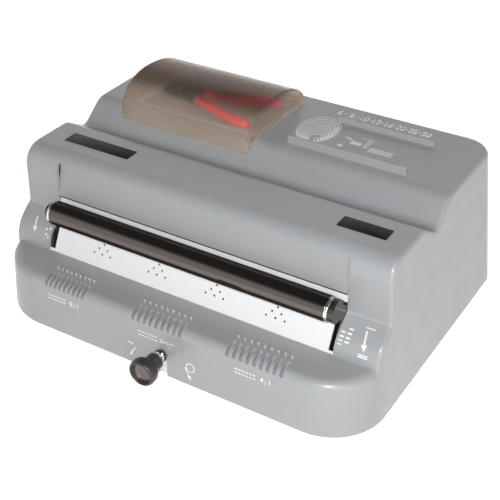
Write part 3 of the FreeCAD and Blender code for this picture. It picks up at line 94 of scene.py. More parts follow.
level = math.cos(CAMERA_ELEVATION)
back = Vector((math.sin(CAMERA_AZIMUTH) * level, -math.cos(CAMERA_AZIMUTH) * level,
               math.sin(CAMERA_ELEVATION)))
right = Vector((math.cos(CAMERA_AZIMUTH), math.sin(CAMERA_AZIMUTH), 0))
above = back.cross(right)
rolled_right = right * math.cos(CAMERA_ROLL) + above * math.sin(CAMERA_ROLL)
rolled_above = above * math.cos(CAMERA_ROLL) - right * math.sin(CAMERA_ROLL)
bpy.ops.object.camera_add()
camera = bpy.context.object
camera.name = "camera"
camera.matrix_world = Matrix((rolled_right, rolled_above, back)).transposed().to_4x4()
camera.location = CAMERA_PLACE
camera.data.lens = CAMERA_LENS
camera.data.sensor_width = SENSOR_WIDTH
bpy.context.scene.camera = camera
bpy.context.scene.view_settings.view_transform = "Standard"
print("camera looks from", [round(v, 2) for v in camera.location])

# %% [markdown]
# ## World
# In the photograph the front and the right side are lighter than the tops, and the roller
# reflects a dark band beside a bright one. One flat sky can't give that, so the world is white
# up to some way above the horizon and darkens towards the zenith. The camera and glossy
# surfaces see it at full strength, and the machine is lit by a part of that.

# %% Helpers for node trees
MIX_FACTOR = 0
MIX_FIRST = 6
MIX_SECOND = 7
MIX_RESULT = 2


def add_colour_mix(tree, first, second):
    """Mix node for two colours. Its colour sockets are known by their numbers alone."""
    mix = tree.nodes.new("ShaderNodeMix")
    mix.data_type = "RGBA"
    mix.inputs[MIX_FIRST].default_value = first
    mix.inputs[MIX_SECOND].default_value = second
    return mix


def any_ray(tree, kinds):
    """Socket that is 1 for these kinds of ray and 0 for all others."""
    rays = tree.nodes.new("ShaderNodeLightPath")
    answer = rays.outputs[kinds[0]]
    for kind in kinds[1:]:
        either = tree.nodes.new("ShaderNodeMath")
        either.operation = "MAXIMUM"
        tree.links.new(answer, either.inputs[0])
        tree.links.new(rays.outputs[kind], either.inputs[1])
        answer = either.outputs[0]
    return answer


print("colour mixes use sockets", MIX_FIRST, "and", MIX_SECOND)

# %% Sky that darkens towards the zenith
WHITE = (1.0, 1.0, 1.0, 1.0)
ZENITH = (0.10, 0.10, 0.105, 1.0)
LIGHT_STRENGTH = 0.36
SEEN_STRENGTH = 1.0
BRIGHT_BELOW = math.sin(math.radians(20))
DARK_ABOVE = math.sin(math.radians(50))

world = bpy.data.worlds.new("studio")
bpy.context.scene.world = world
world.use_nodes = True
sky = world.node_tree
direction = sky.nodes.new("ShaderNodeTexCoord")
split = sky.nodes.new("ShaderNodeSeparateXYZ")
fade = sky.nodes.new("ShaderNodeMapRange")
fade.interpolation_type = "SMOOTHSTEP"
fade.inputs["From Min"].default_value = BRIGHT_BELOW
fade.inputs["From Max"].default_value = DARK_ABOVE
tint = add_colour_mix(sky, WHITE, ZENITH)
lift = sky.nodes.new("ShaderNodeMapRange")
lift.inputs["To Min"].default_value = LIGHT_STRENGTH
lift.inputs["To Max"].default_value = SEEN_STRENGTH
background = sky.nodes["Background"]
sky.links.new(direction.outputs["Generated"], split.inputs[0])
sky.links.new(split.outputs["Z"], fade.inputs["Value"])
sky.links.new(fade.outputs["Result"], tint.inputs[MIX_FACTOR])
sky.links.new(tint.outputs[MIX_RESULT], background.inputs["Color"])
sky.links.new(any_ray(sky, ["Is Camera Ray", "Is Glossy Ray"]), lift.inputs["Value"])
sky.links.new(lift.outputs["Result"], background.inputs["Strength"])
print("world lights the machine at", LIGHT_STRENGTH)

# %% [markdown]
# ## Lamps
# Round edges carry small bright glints in the photograph, and the right side is a little warm.
# A broad lamp on the right gives the warm light, and a small one near the camera the glints. A
# third one lights the rear from behind. Gloss and glass don't show it, because it would whiten
# the tops and the lid.

# %% Three lamps
def add_lamp(name, place, size, watts, colour):
    """Square soft lamp that looks at the middle of the machine."""
    bpy.ops.object.light_add(type="AREA", location=place)
    lamp = bpy.context.object
    lamp.name = name
    lamp.data.size = size
    lamp.data.energy = watts
    lamp.data.color = colour
    aim = (cad_low + cad_high) / 2 - Vector(place)
    lamp.rotation_euler = aim.to_track_quat("-Z", "Y").to_euler()
    return lamp


add_lamp("side_lamp", place=(1.35, -1.15, 0.55), size=0.9, watts=5.5, colour=(1.0, 0.93, 0.87))
add_lamp("flash", place=(0.52, -0.88, 0.76), size=0.16, watts=10.2, colour=(0.97, 0.985, 1.0))
rear_fill = add_lamp("rear_fill", place=(-1.2, 1.5, 0.42), size=1.2, watts=14.0, colour=WHITE[:3])
rear_fill.visible_glossy = False
rear_fill.visible_transmission = False

# %% [markdown]
# ## Floor
# The machine stands on white paper that runs on as the background. Strong lamps could make it
# white, but they would burn out the machine too. So the paper takes light and shadow as they
# fall, and a glow that only camera, glossy and transmission rays see lifts it to white.

# %% White paper
FLOOR_SIZE = 9.0
FLOOR_GAP = 0.2
FLOOR_COLOUR = (0.90, 0.90, 0.90, 1.0)
FLOOR_GLOW = 0.80

bpy.ops.object.select_all(action="DESELECT")
bpy.ops.mesh.primitive_plane_add(size=FLOOR_SIZE, location=(0, 0, cad_low.z - FLOOR_GAP * MM))
floor = bpy.context.object
floor.name = "floor"
paper = bpy.data.materials.new("white_paper")
paper.use_nodes = True
sheet = paper.node_tree
matte = sheet.nodes["Principled BSDF"]
matte.inputs["Base Color"].default_value = FLOOR_COLOUR
matte.inputs["Roughness"].default_value = 1.0
matte.inputs["Specular IOR Level"].default_value = 0.0
matte.inputs["Emission Color"].default_value = WHITE
seen = any_ray(sheet, ["Is Camera Ray", "Is Glossy Ray", "Is Transmission Ray"])
glow = sheet.nodes.new("ShaderNodeMath")
glow.operation = "MULTIPLY"
glow.inputs[1].default_value = FLOOR_GLOW
sheet.links.new(seen, glow.inputs[0])
sheet.links.new(glow.outputs[0], matte.inputs["Emission Strength"])
floor.data.materials.append(paper)
print("floor is", FLOOR_SIZE, "m wide")

# %% [markdown]
# ## Shared effects
# Real surfaces are never one flat colour. Three small node groups are built once and placed
# in the materials with their own values: moulded grain for plastics and paint, drawn lines
# for machined metal, and handling marks, the faint uneven gloss that hands and dust leave.
# All of them read object coordinates, so that a pattern keeps its real size on every piece.

# %% Helpers for effects
PATTERN_SCALE = 900.0


def new_effect(name, scale, outputs):
    """Shader group with a Scale input. Gives its object coordinates, scale and outputs too."""
    group = bpy.data.node_groups.new(name, "ShaderNodeTree")
    socket = group.interface.new_socket("Scale", in_out="INPUT", socket_type="NodeSocketFloat")
    socket.default_value = scale
    for label in outputs:
        group.interface.new_socket(label, in_out="OUTPUT", socket_type="NodeSocketFloat")
    where = group.nodes.new("ShaderNodeTexCoord").outputs["Object"]
    entry = group.nodes.new("NodeGroupInput").outputs["Scale"]
    return group, where, entry, group.nodes.new("NodeGroupOutput").inputs


def add_noise(group, where, scale, detail, roughness):
    """Noise texture whose scale comes from a socket, or from a plain number."""
    noise = group.nodes.new("ShaderNodeTexNoise")
    noise.inputs["Detail"].default_value = detail
    noise.inputs["Roughness"].default_value = roughness
    group.links.new(where, noise.inputs["Vector"])
    if isinstance(scale, float):
        noise.inputs["Scale"].default_value = scale
    else:
        group.links.new(scale, noise.inputs["Scale"])
    return noise.outputs["Fac"]


print("patterns have a scale of", PATTERN_SCALE, "unless a finish says otherwise")

# %% Moulded grain and drawn lines
GRAIN_CLOUDS = 26.0
LINE_CLOUDS = 320.0
LINE_STRETCH = (0.02, 1.0, 1.0)

grain_effect, where, scale, leave = new_effect("moulded_grain", PATTERN_SCALE, ["Height", "Tone"])
height = add_noise(grain_effect, where, scale, detail=3.0, roughness=0.6)
tone = add_noise(grain_effect, where, GRAIN_CLOUDS, detail=4.0, roughness=0.55)
grain_effect.links.new(height, leave["Height"])
grain_effect.links.new(tone, leave["Tone"])

lines_effect, where, scale, leave = new_effect("drawn_lines", PATTERN_SCALE, ["Height", "Tone"])
squeeze = lines_effect.nodes.new("ShaderNodeMapping")
squeeze.inputs["Scale"].default_value = LINE_STRETCH
lines_effect.links.new(where, squeeze.inputs["Vector"])
height = add_noise(lines_effect, squeeze.outputs[0], scale, detail=2.0, roughness=0.5)
tone = add_noise(lines_effect, squeeze.outputs[0], LINE_CLOUDS, detail=3.0, roughness=0.6)
lines_effect.links.new(height, leave["Height"])
lines_effect.links.new(tone, leave["Tone"])
print("surface effects:", grain_effect.name, lines_effect.name)

# %% Handling marks
MARKS_SCALE = 60.0
MARKS_LOW = 0.30
MARKS_HIGH = 0.72

marks_effect, where, scale, leave = new_effect("handling_marks", MARKS_SCALE, ["Gloss"])
cloud = add_noise(marks_effect, where, scale, detail=6.0, roughness=0.62)
ramp = marks_effect.nodes.new("ShaderNodeMapRange")
ramp.inputs["From Min"].default_value = MARKS_LOW
ramp.inputs["From Max"].default_value = MARKS_HIGH
marks_effect.links.new(cloud, ramp.inputs["Value"])
marks_effect.links.new(ramp.outputs["Result"], leave["Gloss"])
print("gloss effect:", marks_effect.name)

# %% [markdown]
# ## Finishes
# A finish is one Principled shader with effects around it: the tone of the grain or the lines
# moves the colour a little up and down, the marks move the roughness, and the height of the
# grain or the lines becomes a shallow bump. One function wires that up, so that each real
# finish of the machine is a short call with its own colour, gloss, grain size and depth.

# %% A function that makes a finish
COAT_ROUGHNESS = 0.10
LEAST_ROUGHNESS = 0.02
BUMP_STRENGTH = 0.6


def shade(colour, factor):
    """Lighter or darker colour, with full alpha."""
    return (colour[0] * factor, colour[1] * factor, colour[2] * factor, 1.0)


def make_finish(name, colour, roughness, metallic=0.0, effect=grain_effect, scale=PATTERN_SCALE,
                depth=0.05, tone=0.05, spread=0.06, coat=0.0, shine=0.5):
    """Material with varied tone and gloss, and a bump of the given depth in millimetres."""
    material = bpy.data.materials.new(name)
    material.use_nodes = True
    tree = material.node_tree
    shader = tree.nodes["Principled BSDF"]
    shader.inputs["Metallic"].default_value = metallic
    shader.inputs["Coat Weight"].default_value = coat
    shader.inputs["Coat Roughness"].default_value = COAT_ROUGHNESS
    shader.inputs["Specular IOR Level"].default_value = shine
    pattern = tree.nodes.new("ShaderNodeGroup")
    pattern.node_tree = effect
    pattern.inputs["Scale"].default_value = scale
    marks = tree.nodes.new("ShaderNodeGroup")
    marks.node_tree = marks_effect
    blend = add_colour_mix(tree, shade(colour, 1 - tone), shade(colour, 1 + tone))
    gloss = tree.nodes.new("ShaderNodeMapRange")
    gloss.inputs["To Min"].default_value = max(roughness - spread, LEAST_ROUGHNESS)
    gloss.inputs["To Max"].default_value = roughness + spread
    bump = tree.nodes.new("ShaderNodeBump")
    bump.inputs["Strength"].default_value = BUMP_STRENGTH
    bump.inputs["Distance"].default_value = depth * MM
    tree.links.new(pattern.outputs["Tone"], blend.inputs[MIX_FACTOR])
    tree.links.new(blend.outputs[MIX_RESULT], shader.inputs["Base Color"])
    tree.links.new(marks.outputs["Gloss"], gloss.inputs["Value"])
    tree.links.new(gloss.outputs["Result"], shader.inputs["Roughness"])
    tree.links.new(pattern.outputs["Height"], bump.inputs["Height"])
    tree.links.new(bump.outputs["Normal"], shader.inputs["Normal"])
    return material


def make_metal(name, colour, roughness, **values):
    """Finish of bare metal with drawn lines."""
    return make_finish(name, colour, roughness, metallic=1.0, effect=lines_effect, **values)


print("clear coats have a roughness of", COAT_ROUGHNESS)

# %% [markdown]
# ## Plastics and rubber
# The cover is satin grey plastic from a lightly textured mould, with a faint blue tone. The
# knob is charcoal with a finer grain, the labels are a deep satin black, the grips are glossy,
# and the feet and belts are dull rubber.

# %% Plastic and rubber finishes
GREY = (0.377, 0.388, 0.397)
PANEL_GREY = shade(GREY, 0.97)
FINE_GRAIN = 1200.0

finishes = {}
finishes["cover_plastic"] = make_finish("satin_grey_plastic", GREY, 0.36, tone=0.035, depth=0.035,
                                        coat=0.22)
finishes["panel_plastic"] = make_finish("panel_grey_plastic", PANEL_GREY, 0.40, tone=0.035, depth=0.03)
finishes["black_plastic"] = make_finish("black_moulding", (0.022, 0.022, 0.024), 0.30, tone=0.12)
finishes["knob_plastic"] = make_finish("charcoal_knob", (0.040, 0.036, 0.034), 0.36, tone=0.12,
                                       scale=FINE_GRAIN)
finishes["red_grip"] = make_finish("dipped_red", (0.80, 0.016, 0.024), 0.24, tone=0.06, scale=220.0,
                                   depth=0.08)
finishes["label_black"] = make_finish("label_gloss", (0.008, 0.008, 0.009), 0.40, tone=0.15,
                                      depth=0.004, shine=0.16)
finishes["board_plastic"] = make_finish("component_case", (0.035, 0.036, 0.042), 0.42, tone=0.12)
finishes["foot_rubber"] = make_finish("foot_rubber", (0.020, 0.020, 0.020), 0.75, tone=0.18, depth=0.10)
finishes["belt_rubber"] = make_finish("belt_rubber", (0.018, 0.018, 0.018), 0.66, tone=0.18,
                                      effect=lines_effect)
print(len(finishes), "plastic and rubber finishes")

# %% [markdown]
# ## Paint and metal
# The coil plate and the spindle brackets are sheet steel in smooth white paint. Drawn and
# turned metal shows fine lines along X, the direction in which the bars and the roller run.
# The roller is polished nearly black with a warm brown cast, so it is a dark metal here: its
# bands are what it reflects.

# %% Paint finishes
finishes["white_paint"] = make_finish("white_powder_paint", (0.84, 0.84, 0.83), 0.34, tone=0.012,
                                      scale=1500.0)
finishes["dark_sheet"] = make_finish("dark_powder_paint", (0.075, 0.077, 0.080), 0.52, tone=0.08,
                                     depth=0.06)
finishes["black_steel"] = make_finish("black_painted_steel", (0.020, 0.018, 0.018), 0.16, tone=0.12,
                                      coat=0.5)
finishes["motor_paint"] = make_finish("motor_black", (0.030, 0.030, 0.033), 0.40, tone=0.10)
print(len(finishes), "finishes with the paints")

# %% Metal finishes
ROLLER_EDGE_TINT = (0.32, 0.31, 0.30, 1.0)

finishes["plated_steel"] = make_metal("zinc_plate", (0.60, 0.60, 0.60), 0.30, tone=0.06)
finishes["tool_steel"] = make_metal("tool_steel", (0.16, 0.16, 0.165), 0.36, tone=0.12)
finishes["bright_chrome"] = make_metal("warm_chrome", (0.80, 0.755, 0.68), 0.12, tone=0.03, depth=0.006)
finishes["bush_bronze"] = make_metal("bearing_bronze", (0.55, 0.37, 0.17), 0.38, tone=0.10)
finishes["roller_aluminium"] = make_metal("turned_aluminium", (0.68, 0.68, 0.69), 0.30)
finishes["gearbox_aluminium"] = make_finish("cast_aluminium", (0.50, 0.50, 0.51), 0.48, metallic=1.0,
                                            scale=500.0, depth=0.15)
finishes["roller_rubber"] = make_metal("polished_dark_roller", (0.128, 0.112, 0.103), 0.09, tone=0.04,
                                       depth=0.002, spread=0.02)
roller_shader = finishes["roller_rubber"].node_tree.nodes["Principled BSDF"]
roller_shader.inputs["Specular Tint"].default_value = ROLLER_EDGE_TINT
print(len(finishes), "finishes with the metals")

# %% [markdown]
# ## Patterned finishes
# Two inner pieces have a pattern of their own. The circuit board carries copper tracks under
# its green coating, which a brick texture draws well enough inside the machine. The
# transformer is a stack of thin sheets: a wave texture gives their edges as a bump.

# %% Circuit board
BOARD_GREEN = (0.020, 0.125, 0.045, 1.0)
BOARD_PALER = (0.026, 0.150, 0.055, 1.0)
TRACK_GREEN = (0.070, 0.230, 0.090, 1.0)
TRACK_SCALE = 130.0
TRACK_WIDTH = 0.035

finishes["board_green"] = make_finish("coated_board", BOARD_GREEN, 0.34, tone=0.10, coat=0.3)
board_tree = finishes["board_green"].node_tree
tracks = board_tree.nodes.new("ShaderNodeTexBrick")
tracks.inputs["Scale"].default_value = TRACK_SCALE
tracks.inputs["Mortar Size"].default_value = TRACK_WIDTH
tracks.inputs["Color1"].default_value = BOARD_GREEN
tracks.inputs["Color2"].default_value = BOARD_PALER
tracks.inputs["Mortar"].default_value = TRACK_GREEN
board_where = board_tree.nodes.new("ShaderNodeTexCoord")
board_tree.links.new(board_where.outputs["Object"], tracks.inputs["Vector"])
board_tree.links.new(tracks.outputs["Color"], board_tree.nodes["Principled BSDF"].inputs["Base Color"])
print("board has tracks at a scale of", TRACK_SCALE)

# %% Transformer
SHEET_SCALE = 320.0
SHEET_DEPTH = 0.2

finishes["transformer_steel"] = make_finish("lacquered_sheets", (0.085, 0.085, 0.092), 0.40,
                                            metallic=0.6, tone=0.10)
stack_tree = finishes["transformer_steel"].node_tree
sheets = stack_tree.nodes.new("ShaderNodeTexWave")
sheets.bands_direction = "Y"
sheets.inputs["Scale"].default_value = SHEET_SCALE
stack_where = stack_tree.nodes.new("ShaderNodeTexCoord")
stack_tree.links.new(stack_where.outputs["Object"], sheets.inputs["Vector"])
stack_bump = next(n for n in stack_tree.nodes if n.type == "BUMP")
stack_bump.inputs["Distance"].default_value = SHEET_DEPTH * MM
stack_tree.links.new(sheets.outputs["Fac"], stack_bump.inputs["Height"])
print("transformer has sheets at a scale of", SHEET_SCALE)

# %% [markdown]
# ## Smoked lid
# The lid is smoky brown plastic with a light frost: the red grips show through it as a soft
# glow. Rough glass gives that. Towards the crown its tint is painted darker, as painted shade.
# Plain glass would leave the compartment in the dark, because lamp rays stop at
# glass, so rays that look for a lamp pass through a tinted opening instead.

# %% Smoked plastic
SMOKE = (0.66, 0.58, 0.51, 1.0)
# Darker tint of the crown: painted shade, not the plastic's own colour.
SMOKE_PAINTED_SHADE = (0.26, 0.205, 0.175, 1.0)
LID_CLEARNESS = 0.88
LID_IOR = 1.18
CROWN_START = 12.0
CROWN_FULL = 1.0

smoked = make_finish("smoked_frosted_plastic", SMOKE, 0.24, depth=0.0, spread=0.02, shine=0.25)
finishes["smoked_plastic"] = smoked
smoked_tree = smoked.node_tree
smoked_shader = smoked_tree.nodes["Principled BSDF"]
smoked_shader.inputs["Transmission Weight"].default_value = LID_CLEARNESS
smoked_shader.inputs["IOR"].default_value = LID_IOR
smoked_tone = smoked_shader.inputs["Base Color"].links[0].from_socket

lid_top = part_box("tool_lid")[1].z
lid_where = smoked_tree.nodes.new("ShaderNodeTexCoord")
lid_split = smoked_tree.nodes.new("ShaderNodeSeparateXYZ")
# Mask for the painted shade: it rises over the top millimetres of the lid.
crown_shade_mask = smoked_tree.nodes.new("ShaderNodeMapRange")
crown_shade_mask.interpolation_type = "SMOOTHSTEP"
crown_shade_mask.inputs["From Min"].default_value = lid_top - CROWN_START * MM
crown_shade_mask.inputs["From Max"].default_value = lid_top - CROWN_FULL * MM
lid_tint_and_shade = add_colour_mix(smoked_tree, SMOKE, SMOKE_PAINTED_SHADE)
smoked_tree.links.new(lid_where.outputs["Object"], lid_split.inputs[0])
smoked_tree.links.new(lid_split.outputs["Z"], crown_shade_mask.inputs["Value"])
smoked_tree.links.new(crown_shade_mask.outputs["Result"], lid_tint_and_shade.inputs[MIX_FACTOR])
smoked_tree.links.new(smoked_tone, lid_tint_and_shade.inputs[MIX_FIRST])
smoked_tree.links.new(lid_tint_and_shade.outputs[MIX_RESULT], smoked_shader.inputs["Base Color"])
print("lid darkens over its top", CROWN_START, "mm")

# %% Let lamp rays through the lid
SMOKE_SHADOW = (0.92, 0.88, 0.85, 1.0)

opening = smoked_tree.nodes.new("ShaderNodeBsdfTransparent")
opening.inputs["Color"].default_value = SMOKE_SHADOW
choice = smoked_tree.nodes.new("ShaderNodeMixShader")
smoked_tree.links.new(any_ray(smoked_tree, ["Is Shadow Ray"]), choice.inputs[0])
smoked_tree.links.new(smoked_shader.outputs[0], choice.inputs[1])
smoked_tree.links.new(opening.outputs[0], choice.inputs[2])
smoked_tree.links.new(choice.outputs[0], smoked_tree.nodes["Material Output"].inputs["Surface"])
print("lid passes lamp rays with the tint", SMOKE_SHADOW[:3])

# %% [markdown]
# ## Dress the frame
# Every node of the frame belongs to a material slot of the record, so one loop gives each
# node its finish. The nodes themselves stay as they are.

# %% Assign the finishes
for subpart in frame["record"]["subparts"]:
    for slot in nodes[subpart["node"]].material_slots:
        slot.material = finishes[subpart["material_slot"]]

# %% [markdown]
# ## Modelling as by hand
# New pieces are made as one would at the screen: a primitive is added, shaped in edit mode
# and finished with modifiers. Two habits keep that safe in a script. Everything is deselected
# before a piece is started, because the loaded nodes are still selected. And a finished piece
# has its place in its mesh, so that its object sits at the origin as the nodes do.

# %% Helpers that place and join pieces
def only(pieces):
    """Selects these pieces alone and makes the first one active."""
    bpy.ops.object.select_all(action="DESELECT")
    for piece in pieces:
        piece.select_set(True)
    bpy.context.view_layer.objects.active = pieces[0]


def lay(piece, matrix):
    """Puts a piece in its place and moves that place into its mesh."""
    only([piece])
    piece.matrix_world = matrix
    bpy.ops.object.transform_apply(location=True, rotation=True, scale=True)
    return piece


def join(pieces):
    """Makes one piece of several."""
    only(pieces)
    bpy.ops.object.join()
    return bpy.context.object


def copy_to(piece, place):
    """Copy of a piece with its own mesh, moved by a distance."""
    only([piece])
    bpy.ops.object.duplicate()
    return lay(bpy.context.object, Matrix.Translation(place))


def middle_of(name):
    """Middle of a node's box."""
    low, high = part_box(name)
    return (low + high) / 2


print("cover's middle is at", [round(v, 3) for v in middle_of("cover_shell")])

# %% Helpers that finish pieces
def apply_modifier(piece, kind, **values):
    """Adds a modifier with these values and applies it."""
    only([piece])
    modifier = piece.modifiers.new(kind.lower(), kind)
    for label, value in values.items():
        setattr(modifier, label, value)
    bpy.ops.object.modifier_apply(modifier=modifier.name)


def settle(piece, name, body, slot, finish=None):
    """Names a finished piece, gives it its finish and lets it ride on its body."""
    piece.name = name
    piece.data.name = name
    piece.data.materials.clear()
    piece.data.materials.append(finish or finishes[slot])
    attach(piece, body)
    print("made", name, "with", len(piece.data.polygons), "faces")
    return piece


def second_finish(piece, faces, finish):
    """Gives some faces of a settled piece another finish."""
    piece.data.materials.append(finish)
    for face in faces:
        face.material_index = 1


print("pieces can take", len(finishes), "finishes")

# %% Helpers that start pieces
SMOOTH_BELOW = 35
MERGE_WITHIN = 0.002


def block(middle, size):
    """Cube of this size at this place, both in its mesh."""
    bpy.ops.object.select_all(action="DESELECT")
    bpy.ops.mesh.primitive_cube_add(size=1, location=middle, scale=size)
    bpy.ops.object.transform_apply(location=True, rotation=True, scale=True)
    return bpy.context.object


def turn_outline(outline, steps, smooth=SMOOTH_BELOW):
    """Lathe: draws an outline of radius and height and spins it once round the Z axis."""
    bpy.ops.object.select_all(action="DESELECT")
    bpy.ops.mesh.primitive_plane_add(size=MM)
    piece = bpy.context.object
    bpy.ops.object.mode_set(mode="EDIT")
    bpy.ops.mesh.select_mode(type="VERT")
    bpy.ops.mesh.select_all(action="SELECT")
    bpy.ops.mesh.merge(type="CENTER")
    points = [Vector((radius * MM, 0, height * MM)) for radius, height in outline]
    bpy.ops.transform.translate(value=points[0])
    for here, there in zip(points, points[1:]):
        bpy.ops.mesh.extrude_region_move(TRANSFORM_OT_translate={"value": there - here})
    bpy.ops.mesh.select_all(action="SELECT")
    bpy.ops.mesh.spin(steps=steps, angle=math.tau, center=(0, 0, 0), axis=(0, 0, 1))
    bpy.ops.mesh.select_all(action="SELECT")
    bpy.ops.mesh.remove_doubles(threshold=MERGE_WITHIN * MM)
    bpy.ops.mesh.normals_make_consistent(inside=False)
    bpy.ops.object.mode_set(mode="OBJECT")
    bpy.ops.object.shade_smooth_by_angle(angle=math.radians(smooth))
    return piece


print("turned pieces are smooth below", SMOOTH_BELOW, "degrees")

# %% [markdown]
# ## Adjusting knob
# The knob is a dark moulded head with a dished front on a slim neck. It is round, so its
# outline is drawn point by point and spun: that keeps the soft rim and the hollow under the
# head, which a bevelled cylinder would lose. The neck ends short of the cover and shows the
# bright spindle. The dish face is painted lighter and browner as a painted reflection, a second
# finish on its faces.

# %% Turn the knob
KNOB_OUTLINE = [(0, 25.4), (5.0, 25.5), (7.2, 25.8), (8.3, 26.6), (9.2, 28.6), (9.7, 30.4), (10.1, 30.9),
                (10.6, 31.0), (11.4, 30.6), (12.1, 29.7), (12.5, 28.2), (12.5, 24.6), (12.2, 22.7),
                (11.2, 21.0), (9.6, 19.8), (8.2, 19.0), (7.6, 18.0), (7.5, 16.4), (7.5, 9.0), (7.0, 8.3),
                (4.05, 8.3), (4.05, 22.9), (0, 22.9)]
DISH_RADIUS = 8.0
DISH_ABOVE = 25.0

knob_middle = middle_of("knob")
spindle_foot = Matrix.Translation((knob_middle.x, FRONT, knob_middle.z))
knob_place = spindle_foot @ Matrix.Rotation(math.pi / 2, 4, "X")
knob = turn_outline(KNOB_OUTLINE, steps=64)
dish_faces = [f for f in knob.data.polygons
              if f.center.xy.length < DISH_RADIUS * MM and f.center.z > DISH_ABOVE * MM]
lay(knob, knob_place)
settle(knob, "knob_turned", "knob_set", "knob_plastic")
# Lighter, browner face of the dish: a painted reflection.
finishes["knob_dish"] = make_finish("knob_face_painted_reflection", (0.170, 0.138, 0.124), 0.40, tone=0.12,
                                    scale=FINE_GRAIN)
second_finish(knob, dish_faces, finishes["knob_dish"])
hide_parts("knob")

# %% [markdown]
# ## Spindle collar and bracket skirt
# Behind the knob a bright sleeve ends in a thin black washer. Both are turned as one outline,
# and the faces of the washer get the black finish. Below the spindle the cover is notched, and
# the white bracket reaches down in front of the base: a small plate with a fine bevel.

# %% Turn the collar
COLLAR_OUTLINE = [(4.05, 0.3), (5.2, 0.3), (5.3, 1.1), (5.6, 1.2), (5.8, 1.4), (5.8, 2.1), (5.6, 2.3),
                  (4.5, 2.35), (4.5, 3.0), (4.3, 3.25), (4.05, 3.25), (4.05, 0.3)]
WASHER_TOP = 2.33

collar = turn_outline(COLLAR_OUTLINE, steps=40)
washer_faces = [f for f in collar.data.polygons if f.center.z < WASHER_TOP * MM]
lay(collar, knob_place)
settle(collar, "collar_turned", "knob_set", "bright_chrome")
second_finish(collar, washer_faces, finishes["black_plastic"])
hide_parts("spindle_collar")

# %% Add the bracket skirt
SKIRT_WIDTH = 17.2
SKIRT_THICKNESS = 0.6
SKIRT_HEIGHT = 14.0
SKIRT_Y = 2.95
SKIRT_FOOT = 3.1

skirt_middle = at(knob_middle.x / MM, SKIRT_Y, SKIRT_FOOT + SKIRT_HEIGHT / 2)
skirt = block(skirt_middle, (SKIRT_WIDTH * MM, SKIRT_THICKNESS * MM, SKIRT_HEIGHT * MM))
apply_modifier(skirt, "BEVEL", width=0.15 * MM, segments=2)
settle(skirt, "bracket_skirt", "base", "white_paint")

# %% [markdown]
# ## Plier grips
# The crimping pliers under the lid have dipped red grips: slim where they start, thicker
# towards a rounded end, and bowed outwards. The taper is turned like the knob. The bow comes
# from a Simple Deform modifier, because a turned shape is straight.

# %% Turn and bow the two grips
GRIP_OUTLINE = [(0, -37.2), (3.0, -37.2), (4.2, -36.7), (4.8, -35.4), (4.5, -33.8), (4.3, -30.0),
                (4.4, -20.0), (4.8, -8.0), (5.2, 6.0), (5.4, 18.0), (5.5, 28.0), (5.2, 33.0),
                (4.3, 35.6), (2.6, 36.9), (0, 37.2)]
GRIP_MIDDLE = 63.0
GRIP_BOW = math.radians(18)
GRIP_OUTWARD = 1.9
GRIP_ANGLE = math.radians(17)

plier_at = middle_of("plier_rivet")
plier_at.z = middle_of("plier_grip_front").z
for side, name, body in ((-1, "front", "base"), (1, "rear", "plier_rear")):
    grip = turn_outline(GRIP_OUTLINE, steps=28)
    lay(grip, Matrix.Rotation(math.pi / 2, 4, "Y"))
    apply_modifier(grip, "SIMPLE_DEFORM", deform_method="BEND", deform_axis="Z", angle=-side * GRIP_BOW)
    grip_turn = Matrix.Rotation(side * GRIP_ANGLE, 4, "Z")
    grip_shift = Matrix.Translation((GRIP_MIDDLE * MM, side * GRIP_OUTWARD * MM, 0))
    lay(grip, Matrix.Translation(plier_at) @ grip_turn @ grip_shift)
    settle(grip, "dipped_grip_" + name, body, "red_grip")
    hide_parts("plier_grip_" + name)

# %% [markdown]
# ## Label plates
# Two plain black plates sit on the second step. A plate is a cube at the size of its node,
# with its four upright edges rounded and then all its edges softened.

# %% Round the plates
LABEL_CORNER = 0.9
LABEL_EDGE = 0.12
UPRIGHT_WITHIN = 0.1


def round_plate(name):
    """Plate in a node's box, with round corners in plan and a fine bevel."""
    low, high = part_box(name)
    plate = block((low + high) / 2, high - low)
    points = plate.data.vertices
    bpy.ops.object.mode_set(mode="EDIT")
    bpy.ops.mesh.select_mode(type="EDGE")
    bpy.ops.mesh.select_all(action="DESELECT")
    bpy.ops.object.mode_set(mode="OBJECT")
    for line in plate.data.edges:
        along = points[line.vertices[0]].co - points[line.vertices[1]].co
        line.select = along.xy.length < UPRIGHT_WITHIN * MM
    bpy.ops.object.mode_set(mode="EDIT")
    bpy.ops.mesh.bevel(offset=LABEL_CORNER * MM, segments=4)
    bpy.ops.object.mode_set(mode="OBJECT")
    apply_modifier(plate, "BEVEL", width=LABEL_EDGE * MM, segments=2, limit_method="ANGLE")
    bpy.ops.object.shade_smooth_by_angle(angle=math.radians(SMOOTH_BELOW))
    return plate


for side in ("left", "right"):
    plate = settle(round_plate("label_" + side), "label_plate_" + side, "base", "label_black")
    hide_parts("label_" + side)

# %% [markdown]
# ## Feet
# Each rubber foot is a moulded disc with a round rim and a recess for its screw. One outline
# is turned for each of the four places.

# %% Turn the feet
FOOT_OUTLINE = [(0, 1.5), (3.4, 1.5), (4.0, 1.3), (4.4, 0.5), (5.0, 0.0), (9.0, 0.0), (10.2, 0.35),
                (10.8, 1.1), (11.0, 2.1), (11.0, 5.0), (0, 5.0)]

for end in ("front", "rear"):
    for side in ("left", "right"):
        foot_node = "foot_" + end + "_" + side
        foot_place = middle_of(foot_node)
        foot_place.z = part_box(foot_node)[0].z
        foot = turn_outline(FOOT_OUTLINE, steps=40)
        lay(foot, Matrix.Translation(foot_place))
        settle(foot, "moulded_" + foot_node, "base", "foot_rubber")
        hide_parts(foot_node)

# %% [markdown]
# ## Stud caps
# Behind each groove stands a small stud. Its round top is a cap in a paler grey, a painted
# highlight. One cap is turned with few steps, because it is repeated, and copied along the three
# groups of the pitch gauge.

